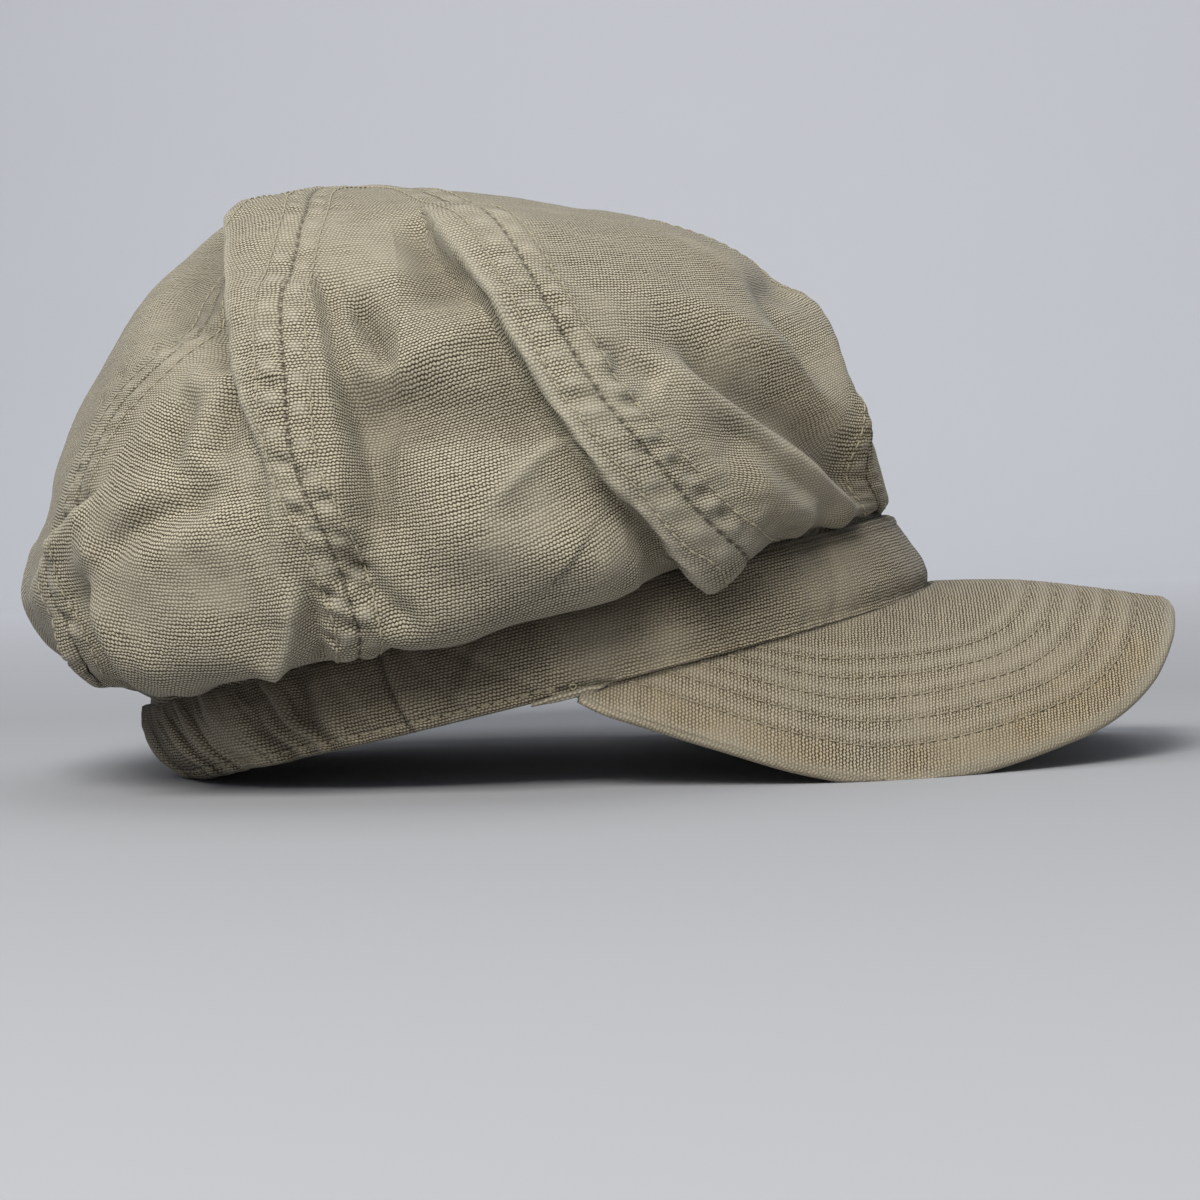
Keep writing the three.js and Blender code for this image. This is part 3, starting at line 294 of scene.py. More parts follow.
def band_in(p):
    m = np.hypot(p[..., 0] - 5, p[..., 1] * 1.2)
    return -np.stack([(p[..., 0] - 5) / m, p[..., 1] * 1.2 / m, 0 * m], -1)


def crown_frame(a, t):
    """Point, derivatives, outward normal and metric of the smooth crown."""
    e = 2e-3
    P = crown_base(a, t)
    Pa = (crown_base(a + e, t) - crown_base(a - e, t)) / (2 * e)
    lo, hi = np.maximum(t - e, 0), np.minimum(t + e, 1)
    Pt = (crown_base(a, hi) - crown_base(a, lo)) / (hi - lo)[..., None]
    N = unit(np.cross(Pa, Pt))
    E, G, M = (Pa * Pa).sum(-1), (Pt * Pt).sum(-1), (Pa * Pt).sum(-1)
    return P, Pa, Pt, N, E, G, M


def line_distance(fr, a, t, keys, degs):
    """Signed distance in mm from a line over the crown, plus towards the front, with the rearward direction."""
    P, Pa, Pt, N, E, G, M = fr
    af, daf = curve(keys, degs, t)
    af, daf = af * D2R, daf * D2R
    side = 1.0 if np.mean(degs) > 0 else -1.0
    off = np.arctan2(np.sin(a - af), np.cos(a - af))
    g2 = (G + 2 * M * daf + E * daf**2) / np.maximum(E * G - M**2, 1e-6)
    d = -side * off / np.sqrt(g2)
    C = Pa * daf[..., None] + Pt
    T = unit(np.cross(N, C))
    T = T * (np.sign((T * Pa).sum(-1)) * side)[..., None]
    return d, T


def fold_shift(fr, a, t):
    """Height along the normal, and sideways shift, of all folds; and how lit or hidden an edge is."""
    P, N = fr[0], fr[3]
    h = np.zeros(t.shape)
    shift = np.zeros(P.shape)
    edge = np.zeros(t.shape)
    for name, t0, t1, height, wf, wb, over, hollow, wh in LIPS:
        keys, degs = LINES[name]
        d, T = line_distance(fr, a, t, keys, degs)
        run = 0.09 * (t1 - t0) + 0.03
        fade = step(t, t0 - 0.3 * run, t0 + run) * (1 - step(t, t1 - run, t1 + 0.3 * run))
        if name == "rear_pleat":
            fade = fade * (1 - 0.72 * step(t, 0.60, 0.72))
        if name == "fore_lip":
            wf = wf + (8.0 - wf) * step(t, 0.85, 0.96)  # its tip is narrow
        near = np.abs(d) < 90
        front = height * np.exp(-((np.maximum(d, 0) / wf) ** 2))
        drop = 1 - step(-d, 0.0, wb)
        dip = -hollow * step(-d, 0.3 * wb, 0.35 * wh) * np.exp(-((np.maximum(-d - 0.3 * wh, 0) / wh) ** 2))
        h += near * fade * (np.where(d > 0, front, height * drop) + dip)
        lip = np.where(d > 0, np.exp(-((d / 6.0) ** 2)), 1 - step(-d, 0.25 * wb, wb))
        shift += (near * fade * over * lip)[..., None] * T
        edge += near * fade * np.where(d > -0.4 * wb, np.exp(-((d / 1.6) ** 2)), 0)
    for name, ft, fa, height, wr, wl, sharp in FOLDS:
        r, d, s = crest_distance(P, ft, fa, 4.5 * max(wr, wl))
        if r is None:
            continue
        ends = step(s, 0.0, 0.3) * (1 - step(s, 0.74, 1.0))
        w = wl + (wr - wl) * step(d, -0.35 * wl, 0.35 * wr)
        core = np.sqrt((r / w) ** 2 + 0.02)
        h += height * ends * np.exp(-(core**sharp))
        if height > 0 and sharp < 1.7:
            edge += 0.6 * ends * np.exp(-((r / 1.8) ** 2))
    # Flank that closes the raised strip of the rear seam towards the front.
    d, T = line_distance(fr, a, t, *LINES["rear_flank"])
    soft = 2.6 + 7.0 * step(t, 0.60, 0.80)
    fade = step(t, 0.43, 0.50) * (1 - step(t, 0.78, 0.88))
    wall = step(d, -0.35 * soft, 0.65 * soft)
    h += (np.abs(d) < 60) * fade * ((1 - wall) * 1.6 * np.exp(-((np.maximum(-d - 14.0, 0) / 6.0) ** 2)) * (d > -26) - wall * 4.6 * np.exp(-((np.maximum(d, 0) / 15.0) ** 2)))
    return h, shift, edge


def crest_distance(P, ft, fa, reach):
    """Distance from a crest line, its sign (plus on the right of the walk, seen from outside) and the place along it, 0 to 1."""
    k = np.concatenate([[0], np.cumsum(np.hypot(np.diff(ft) * MERIDIAN, np.diff(fa) * 1.5))])
    q = np.linspace(0, k[-1], 72)
    ta = cubic(np.column_stack([k, ft, fa]), q)
    C, _, _, N, _, _, _ = crown_frame(ta[:, 1] * D2R, np.clip(ta[:, 0], 0, 1))
    lo, hi = C.min(0) - reach, C.max(0) + reach
    box = np.all((P > lo) & (P < hi), axis=-1)
    if not box.any():
        return None, None, None
    Q = P[box]
    r2 = np.empty(len(Q))
    ix = np.empty(len(Q), int)
    for i in range(0, len(Q), 8000):
        D = ((Q[i:i + 8000, None, :] - C[None]) ** 2).sum(-1)
        ix[i:i + 8000] = D.argmin(1)
        r2[i:i + 8000] = D.min(1)
    T = unit(np.gradient(C, axis=0))
    side = unit(np.cross(N, T))
    dv = Q - C[ix]
    along = (dv * T[ix]).sum(-1)
    ds = np.linalg.norm(np.diff(C, axis=0), axis=1).mean()
    inside = np.clip(along, -0.5 * ds, 0.5 * ds)
    rr = np.sqrt(np.maximum(r2 - inside * inside, 0))
    out_r = np.full(P.shape[:-1], 1e3)
    out_d = np.full(P.shape[:-1], 1e3)
    out_s = np.zeros(P.shape[:-1])
    out_r[box] = rr
    out_d[box] = (dv * side[ix]).sum(-1)
    out_s[box] = np.clip((ix + inside / ds) / (len(q) - 1), 0, 1)
    return out_r, out_d, out_s


def seam_profile(x, length, seam, side):
    """Height, painted shade, and wear with painted highlight beside a pressed-open seam, x from the seam, length along
    it in mm.
    """
    ax = np.abs(x)
    raised = 0.55 * (1 - step(ax, SEAM_ALLOW - 0.7, SEAM_ALLOW + 0.7))
    row = np.exp(-(((ax - ROW_AT) / 0.7) ** 2))
    groove = np.exp(-((ax / 0.42) ** 2))
    dash = step(np.sin(2 * math.pi * length / 3.3 + 0.7 * noise(np.stack([length / 9.0, 0 * x, 0 * x], -1), 1.0, 41)), -0.55, 0.05)
    h = raised - 0.30 * row - 0.55 * groove * (0.6 + 0.4 * dash) - 0.16 * np.exp(-((ax / 1.5) ** 2))
    # painted shade in the seam's groove and along the stitch row
    dark = groove * (0.25 + 0.75 * dash) + 0.14 * row
    phase = 7.0 * noise(np.stack([length * 0.02, 0 * x, 0 * x], -1), 1.0, 3 + seam)
    wave = np.sin(2 * math.pi * length / 8.4 + phase + (0 if side > 0 else 2.4) + seam)
    gate = 0.3 + 0.7 * step(noise(np.stack([length / 23.0, 0 * x, 0 * x + seam * 3.1], -1), 1.0, 21), -0.3, 0.5)
    between = np.exp(-(((ax - 2.7) / 1.55) ** 2))
    h += 0.34 * wave * between * gate
    outside = np.exp(-np.maximum(ax - ROW_AT - 0.6, 0) / 4.2) * step(ax, ROW_AT + 0.2, ROW_AT + 1.6)
    h += 0.24 * wave * outside * gate
    # painted shade in the ripples' troughs; wear and painted highlight on their crests
    dark += 0.16 * np.maximum(-wave, 0) * between * gate
    wear = raised / 0.55 * np.maximum(wave, 0) * between * 0.4
    return h, dark, wear


def puckers(fr, a, t):
    """Dents where the stitching has drawn the cloth in, longer across the seam than along it, with painted shade in
    them.
    """
    P = fr[0]
    h = np.zeros(t.shape)
    dark = np.zeros(t.shape)
    for pt, pa, depth in PITS:
        C, Pa, Pt, N, _, _, _ = crown_frame(np.array([pa * D2R]), np.array([pt]))
        ea = unit(Pa[0])
        el = unit(np.cross(N[0], ea))
        d = P - C[0]
        u, v = (d * el).sum(-1), (d * ea).sum(-1)
        u = u + 0.35 * v
        near = (d * d).sum(-1) < 120
        blob = near * np.exp(-((u / 1.25) ** 2) - ((v / 1.9) ** 2))
        rim = near * (np.exp(-(((u - 2.9) / 1.4) ** 2) - ((v / 2.1) ** 2)) + np.exp(-(((u + 2.9) / 1.4) ** 2) - ((v / 2.1) ** 2)))
        h += -0.95 * depth * blob + 0.40 * depth * rim
        # painted shade in the dent
        dark += 0.20 * depth * blob
    return h, dark


def crown_surface(fr, a, t, seam_info):
    """Final crown point for arrays a, t. seam_info gives distance from, and number of, the nearest two seams."""
    P, N = fr[0], fr[3]
    fh, shift, edge = fold_shift(fr, a, t)
    tail = step(1 - t, 0.0, 0.05)
    top = step(t, 0.02, 0.12)
    fh, shift = fh * tail * top, shift * (tail * top)[..., None]
    length = t * MERIDIAN
    dark = np.zeros(t.shape)
    # fold edges and crests are lightened: partly wear, partly painted highlight
    wear = 0.5 * edge
    h = np.zeros(t.shape)
    calm = step(t, 0.03, 0.10)
    for x, seam, side in seam_info:
        sh, sd, sw = seam_profile(x, length, seam, side)
        h += sh * calm
        dark += sd * calm
        wear += sw * calm
    ph, pd = puckers(fr, a, t)
    h += ph
    dark += pd
    inner = np.minimum(*[np.abs(s[0]) for s in seam_info])
    free = step(inner, 4.0, 12.0)
    rip = (
        0.55 * noise(P, 26.0, 1)
        + 0.30 * noise(P, 12.0, 2) * (0.5 + 0.5 * free)
        + 0.12 * noise(P, 5.0, 4) * (0.4 + 0.6 * free)
        + 0.05 * noise(P, 2.2, 5)
    )
    # Creases that run down and forward, as cloth dragged towards the band does.
    drag = noise(np.stack([P[..., 0] * 0.8 + P[..., 2] * 0.9, P[..., 2] * 0.25 - P[..., 0] * 0.2, P[..., 1] * 0.6], -1), 15.0, 8)
    h += rip * (0.35 + 0.65 * top) + 0.45 * drag * free * step(t, 0.3, 0.6)
    # Small gathers where the cloth is sewn into the band.
    al = np.degrees(a)
    gather = noise(np.stack([al * 1.35, length * 0.10, 0 * t], -1), (7.0, 6.0, 1.0), 12)
    h += 1.0 * gather * step(t, 0.86, 0.97) * (1 - step(t, 0.985, 1.0))
    out = P + N * (fh + h * (1 - step(t, 0.975, 1.0)))[..., None] + shift
    return out, P, N, fh, shift, dark, wear


def rest(P):
    """From how it is worn to how it rests, in metres."""
    c, s = math.cos(REST_PITCH), math.sin(REST_PITCH)
    x, z = P[..., 0] - REST_BACK_X, P[..., 2]
    out = np.stack([x * c + z * s + REST_BACK_X - CENTRE_X, P[..., 1] - CENTRE_Y, np.maximum(0.05, z * c - x * s - REST_DROP)], -1)
    return out / 1000.0


# ---------------------------------------------------------------- meshes
def grid_faces(rows, cols, start=0, round_=False, flip=False):
    last = cols if round_ else cols - 1
    i, j = np.meshgrid(np.arange(rows - 1), np.arange(last), indexing="ij")
    j2 = (j + 1) % cols
    q = np.stack([i * cols + j, (i + 1) * cols + j, (i + 1) * cols + j2, i * cols + j2], -1).reshape(-1, 4) + start
    return q[:, ::-1] if flip else q


def make_mesh(name, verts, quads, attrs, material, smooth=True):
    """One object from points in metres and quads (or triangles), with point attributes."""
    me = bpy.data.meshes.new(name)
    verts = np.ascontiguousarray(verts, dtype=np.float32).reshape(-1, 3)
    quads = np.ascontiguousarray(quads, dtype=np.int32)
    n, w = quads.shape
    me.vertices.add(len(verts))
    me.vertices.foreach_set("co", verts.ravel())
    me.loops.add(n * w)
    me.loops.foreach_set("vertex_index", quads.ravel())
    me.polygons.add(n)
    me.polygons.foreach_set("loop_start", np.arange(0, n * w, w, dtype=np.int32))
    me.update(calc_edges=True)
    me.validate()
    if smooth:
        me.shade_smooth()
    for key, val in attrs.items():
        val = np.ascontiguousarray(val, dtype=np.float32)
        kind = "FLOAT_VECTOR" if val.ndim == 2 else "FLOAT"
        at = me.attributes.new(key, kind, "POINT")
        at.data.foreach_set("vector" if kind == "FLOAT_VECTOR" else "value", val.ravel())
    uv = me.uv_layers.new(name="cloth")
    wuv = attrs["wuv"]
    idx = np.empty(len(me.loops), np.int32)
    me.loops.foreach_get("vertex_index", idx)
    uv.data.foreach_set("uv", (wuv[idx, :2] / 400.0 + 0.5).astype(np.float32).ravel())
    ob = bpy.data.objects.new(name, me)
    bpy.context.scene.collection.objects.link(ob)
    ob.data.materials.append(material)
    return ob


STITCHES = {"crown": [], "band": [], "peak": []}


def stitch_rows(group, pts, nrm, pitch=3.1, keep=None):
    """Remembers a row of stitches along a polyline (mm, worn frame) with its normals."""
    seg = np.linalg.norm(np.diff(pts, axis=0), axis=1)
    s = np.concatenate([[0], np.cumsum(seg)])
    n = int(s[-1] / pitch)
    if n < 2:
        return
    at = (np.arange(n) + 0.5) * s[-1] / n
    for c in at:
        a0, a1 = c - 0.40 * pitch, c + 0.40 * pitch
        q = [np.array([np.interp(v, s, pts[:, k]) for k in range(3)]) for v in (a0, c, a1)]
        m = unit(np.array([np.interp(c, s, nrm[:, k]) for k in range(3)]))
        if keep is None or keep(q[1]):
            STITCHES[group].append((q, m))


# ---------------------------------------------------------------- materials
def node(nt, kind, **inputs):
    n = nt.nodes.new(kind)
    for k, v in inputs.items():
        if k.startswith("_"):
            setattr(n, k[1:], v)
        else:
            sock = n.inputs[int(k[1:])] if k[0] == "i" and k[1:].isdigit() else n.inputs[k.replace("__", " ")]
            if isinstance(v, bpy.types.NodeSocket):
                nt.links.new(v, sock)
            else:
                sock.default_value = v
    return n


def M(nt, op, a, b=None, c=None, clamp=False):
    n = nt.nodes.new("ShaderNodeMath")
    n.operation = op
    n.use_clamp = clamp
    for i, v in enumerate((a, b, c)):
        if v is None:
            continue
        if isinstance(v, bpy.types.NodeSocket):
            nt.links.new(v, n.inputs[i])
        else:
            n.inputs[i].default_value = v
    return n.outputs[0]


def mixc(nt, fac, a, b, blend="MIX"):
    n = nt.nodes.new("ShaderNodeMix")
    n.data_type = "RGBA"
    n.blend_type = blend
    for sock, v in ((n.inputs[0], fac), (n.inputs[6], a), (n.inputs[7], b)):
        if isinstance(v, bpy.types.NodeSocket):
            nt.links.new(v, sock)
        else:
            sock.default_value = v
    return n.outputs[2]


def attr(nt, name):
    n = nt.nodes.new("ShaderNodeAttribute")
    n.attribute_name = name
    return n


def noise_tex(nt, vec, scale, detail=2.0, rough=0.5):
    n = nt.nodes.new("ShaderNodeTexNoise")
    nt.links.new(vec, n.inputs["Vector"])
    n.inputs["Scale"].default_value = scale
    n.inputs["Detail"].default_value = detail
    n.inputs["Roughness"].default_value = rough
    return n.outputs["Fac"]


def scaled(nt, vec, x, y, z=1.0):
    n = nt.nodes.new("ShaderNodeVectorMath")
    n.operation = "MULTIPLY"
    nt.links.new(vec, n.inputs[0])
    n.inputs[1].default_value = (x, y, z)
    return n.outputs[0]


PITCH_U = 0.90  # between bright dots along a weft
PITCH_V = 1.54  # two weft rows


def canvas(name, light, dark, stain=(0.42, 0.33, 0.17, 1), stain_amount=0.5, fade=0.10, weave_depth=0.00011):
    """Coarse plain-weave canvas: dots of yarn over dark gaps, uneven yarns, fading, stains, painted shade in pits and
    creases, and wear with painted highlight on edges.
    """
    mat = bpy.data.materials.new(name)
    mat.use_nodes = True
    nt = mat.node_tree
    nt.nodes.clear()
    wuv = attr(nt, "wuv").outputs["Vector"]
    # a little waver in the yarns
    waver = noise_tex(nt, wuv, 0.16, 2.0, 0.6)
    waver2 = noise_tex(nt, scaled(nt, wuv, 1.0, 1.0, 1.0), 0.55, 1.0, 0.5)
    sep = node(nt, "ShaderNodeSeparateXYZ", Vector=wuv)
    u = M(nt, "ADD", sep.outputs[0], M(nt, "MULTIPLY", M(nt, "SUBTRACT", waver, 0.5), 1.1))
    v = M(nt, "ADD", sep.outputs[1], M(nt, "MULTIPLY", M(nt, "SUBTRACT", waver2, 0.5), 0.7))
    cu = M(nt, "COSINE", M(nt, "MULTIPLY", u, 2 * math.pi / PITCH_U))
    cv = M(nt, "COSINE", M(nt, "MULTIPLY", v, 2 * math.pi / PITCH_V))
    brick = M(nt, "MULTIPLY", cu, cv)
    rows = M(nt, "COSINE", M(nt, "MULTIPLY", v, 4 * math.pi / PITCH_V))
    cols = M(nt, "COSINE", M(nt, "MULTIPLY", u, 4 * math.pi / PITCH_U))
    weave = M(nt, "MULTIPLY_ADD", brick, 0.36, 0.5)
    weave = M(nt, "MULTIPLY_ADD", rows, 0.30, weave)
    weave = M(nt, "MULTIPLY_ADD", cols, 0.05, weave)
    slub_w = noise_tex(nt, scaled(nt, wuv, 0.06, 1.45), 1.0, 1.0, 0.5)
    slub_c = noise_tex(nt, scaled(nt, wuv, 1.9, 0.06), 1.0, 1.0, 0.5)
    grain = noise_tex(nt, wuv, 1.7, 2.0, 0.7)
    val = M(nt, "MULTIPLY_ADD", M(nt, "SUBTRACT", slub_w, 0.5), 0.30, weave)
    val = M(nt, "MULTIPLY_ADD", M(nt, "SUBTRACT", slub_c, 0.5), 0.18, val)
    val = M(nt, "MULTIPLY_ADD", M(nt, "SUBTRACT", grain, 0.5), 0.42, val)
    ramp = node(nt, "ShaderNodeMapRange", Value=val)
    ramp.inputs["From Min"].default_value = 0.23
    ramp.inputs["From Max"].default_value = 0.79
    pos = node(nt, "ShaderNodeNewGeometry").outputs["Position"]
    # rubbed patches, where the gaps are filled with fluff and the weave hardly shows; worn edges and painted highlights
    # are flattened and lightened the same way
    rubbed_and_highlit = node(nt, "ShaderNodeMapRange", Value=noise_tex(nt, pos, 30.0, 3.0, 0.6), From__Min=0.50, From__Max=0.68).outputs[0]
    rubbed_and_highlit = M(nt, "MAXIMUM", M(nt, "MULTIPLY", rubbed_and_highlit, 0.5), M(nt, "MULTIPLY", attr(nt, "wear").outputs["Fac"], 0.7), clamp=True)
    tone = M(nt, "MULTIPLY_ADD", M(nt, "SUBTRACT", 0.58, ramp.outputs[0]), rubbed_and_highlit, ramp.outputs[0])
    col = mixc(nt, tone, dark, light)
    col = mixc(nt, M(nt, "MULTIPLY", rubbed_and_highlit, 0.35), col, mixc(nt, 0.42, light, (0.20, 0.20, 0.185, 1)))
    # fading in broad patches
    patch = noise_tex(nt, pos, 18.0, 3.0, 0.55)
    fadev = M(nt, "MULTIPLY_ADD", M(nt, "SUBTRACT", patch, 0.5), 2 * fade, 1.0)
    fine = noise_tex(nt, pos, 90.0, 3.0, 0.6)
    fadev = M(nt, "MULTIPLY", fadev, M(nt, "MULTIPLY_ADD", M(nt, "SUBTRACT", fine, 0.5), 0.14, 1.0))
    grey = node(nt, "ShaderNodeCombineColor")
    for i in range(3):
        nt.links.new(fadev, grey.inputs[i])
    col = mixc(nt, 1.0, col, grey.outputs[0], "MULTIPLY")
    # yellowed stains
    stains = attr(nt, "stain").outputs["Fac"]
    blotch = noise_tex(nt, pos, 26.0, 4.0, 0.6)
    sf = M(nt, "MULTIPLY", stains, node(nt, "ShaderNodeMapRange", Value=blotch, From__Min=0.38, From__Max=0.68).outputs[0])
    col = mixc(nt, M(nt, "MULTIPLY", sf, stain_amount, clamp=True), col, mixc(nt, 1.0, col, (1.03, 0.92, 0.76, 1), "MULTIPLY"))
    # wear and painted highlight lighten, painted shade darkens
    wear = M(nt, "MULTIPLY", attr(nt, "wear").outputs["Fac"], 0.30, clamp=True)
    col = mixc(nt, wear, col, mixc(nt, 0.5, light, (0.62, 0.60, 0.52, 1)))
    pit = M(nt, "MULTIPLY", attr(nt, "pit").outputs["Fac"], 0.68, clamp=True)
    col = mixc(nt, pit, col, mixc(nt, 1.0, dark, (0.42, 0.38, 0.33, 1), "MULTIPLY"))
    fuzz = noise_tex(nt, pos, 1400.0, 2.0, 0.6)
    height = M(nt, "MULTIPLY_ADD", fuzz, 0.25, M(nt, "MULTIPLY", val, 0.8))
    bump = node(nt, "ShaderNodeBump", Height=height)
    bump.inputs["Strength"].default_value = 0.85
    bump.inputs["Distance"].default_value = weave_depth
    bs = node(nt, "ShaderNodeBsdfPrincipled", Base__Color=col, Normal=bump.outputs[0])
    bs.inputs["Roughness"].default_value = 0.92
    bs.inputs["Specular IOR Level"].default_value = 0.22
    bs.inputs["Sheen Weight"].default_value = 0.10
    bs.inputs["Sheen Roughness"].default_value = 0.5
    out = node(nt, "ShaderNodeOutputMaterial", Surface=bs.outputs[0])
    return mat


def thread(name, colour):
    mat = bpy.data.materials.new(name)
    mat.use_nodes = True
    nt = mat.node_tree
    nt.nodes.clear()
    pos = node(nt, "ShaderNodeNewGeometry").outputs["Position"]
    tone = noise_tex(nt, pos, 420.0, 2.0, 0.6)
    twist = noise_tex(nt, scaled(nt, pos, 1.0, 1.0, 2.2), 2600.0, 1.0, 0.5)
    col = mixc(nt, tone, tuple(c * 0.72 for c in colour[:3]) + (1,), colour)
    bump = node(nt, "ShaderNodeBump", Height=twist)
    bump.inputs["Strength"].default_value = 0.6
    bump.inputs["Distance"].default_value = 0.00006
    bs = node(nt, "ShaderNodeBsdfPrincipled", Base__Color=col, Normal=bump.outputs[0])
    bs.inputs["Roughness"].default_value = 0.7
    bs.inputs["Sheen Weight"].default_value = 0.15
    node(nt, "ShaderNodeOutputMaterial", Surface=bs.outputs[0])
    return mat


CROWN_MAT = canvas("crown_canvas", (0.520, 0.470, 0.350, 1), (0.044, 0.034, 0.019, 1))
# The band's cloth is darker than the crown's, partly its own tone and partly painted shade under the crown's overhang;
# the peak's is a little darker, partly painted shade near the band.
BAND_MAT = canvas("band_canvas", (0.378, 0.331, 0.236, 1), (0.038, 0.028, 0.016, 1), stain_amount=0.4)
PEAK_MAT = canvas("peak_canvas", (0.436, 0.380, 0.273, 1), (0.043, 0.033, 0.019, 1), stain_amount=0.8)
THREAD_MAT = thread("thread", (0.40, 0.35, 0.235, 1))
DARK_THREAD_MAT = thread("thread_dark", (0.31, 0.262, 0.170, 1))


# ---------------------------------------------------------------- crown
def spread_rows(n):
    """t from the button to the band, closer together in the turned-under part."""
    s = np.linspace(0, 1, n)
    return 0.006 + (1 - 0.006) * (s + 0.055 * np.sin(math.pi * s * 1.0) * (1 - 0.3 * s))


SEAM_STEPS = np.array([0, 0.22, 0.45, 0.72, 1.05, 1.45, 1.95, 2.5, 3.05, 3.6, 4.1, 4.5, 4.8, 5.1, 5.45, 5.8, 6.15, 6.6, 7.2, 8.0, 9.0, 10.2, 11.6, 13.0])


def panel_grid(k, nt, coarse):
    """Angles and rows of one panel's grid: columns are close together beside the seams."""
    t = spread_rows(nt)
    t[-1] = 1.0
    n = len(SEAMS)
    s0 = curve(SEAM_T, SEAMS[k][1], t)[0] * D2R
    s1 = curve(SEAM_T, SEAMS[(k + 1) % n][1], t)[0] * D2R
    if k == n - 1:
        s1 = s1 - 2 * math.pi
    q = np.linspace(0, 1, 161)
    aa = s0[:, None] + (s1 - s0)[:, None] * q[None]
    pts = crown_base(aa, np.repeat(t[:, None], 161, 1))
    arc = np.concatenate([np.zeros((nt, 1)), np.cumsum(np.linalg.norm(np.diff(pts, axis=1), axis=2), 1)], 1)
    W = arc[:, -1]
    side = SEAM_STEPS
    nm = max(8, int((W.max() - 2 * side[-1]) / coarse))
    cols = 2 * len(side) + nm - 1
    A = np.empty((nt, cols))
    for r in range(nt):
        e = side * min(1.0, W[r] * 0.36 / side[-1])
        mid = np.linspace(e[-1], W[r] - e[-1], nm + 1)[1:-1]
        A[r] = np.interp(np.concatenate([e, mid, W[r] - e[::-1]]), arc[r], aa[r])
    return A, np.repeat(t[:, None], cols, 1)


def cloth_lengths(S):
    """Weave coordinates of a grid in mm: across from its middle column, and down from its first row."""
    du = np.linalg.norm(np.diff(S, axis=1), axis=2)
    U = np.concatenate([np.zeros((len(S), 1)), np.cumsum(du, 1)], 1)
    U -= U[:, S.shape[1] // 2][:, None]
    dv = np.linalg.norm(np.diff(S, axis=0), axis=2)
    V = np.concatenate([np.zeros((1, S.shape[1])), np.cumsum(dv, 0)], 0)
    return U, V


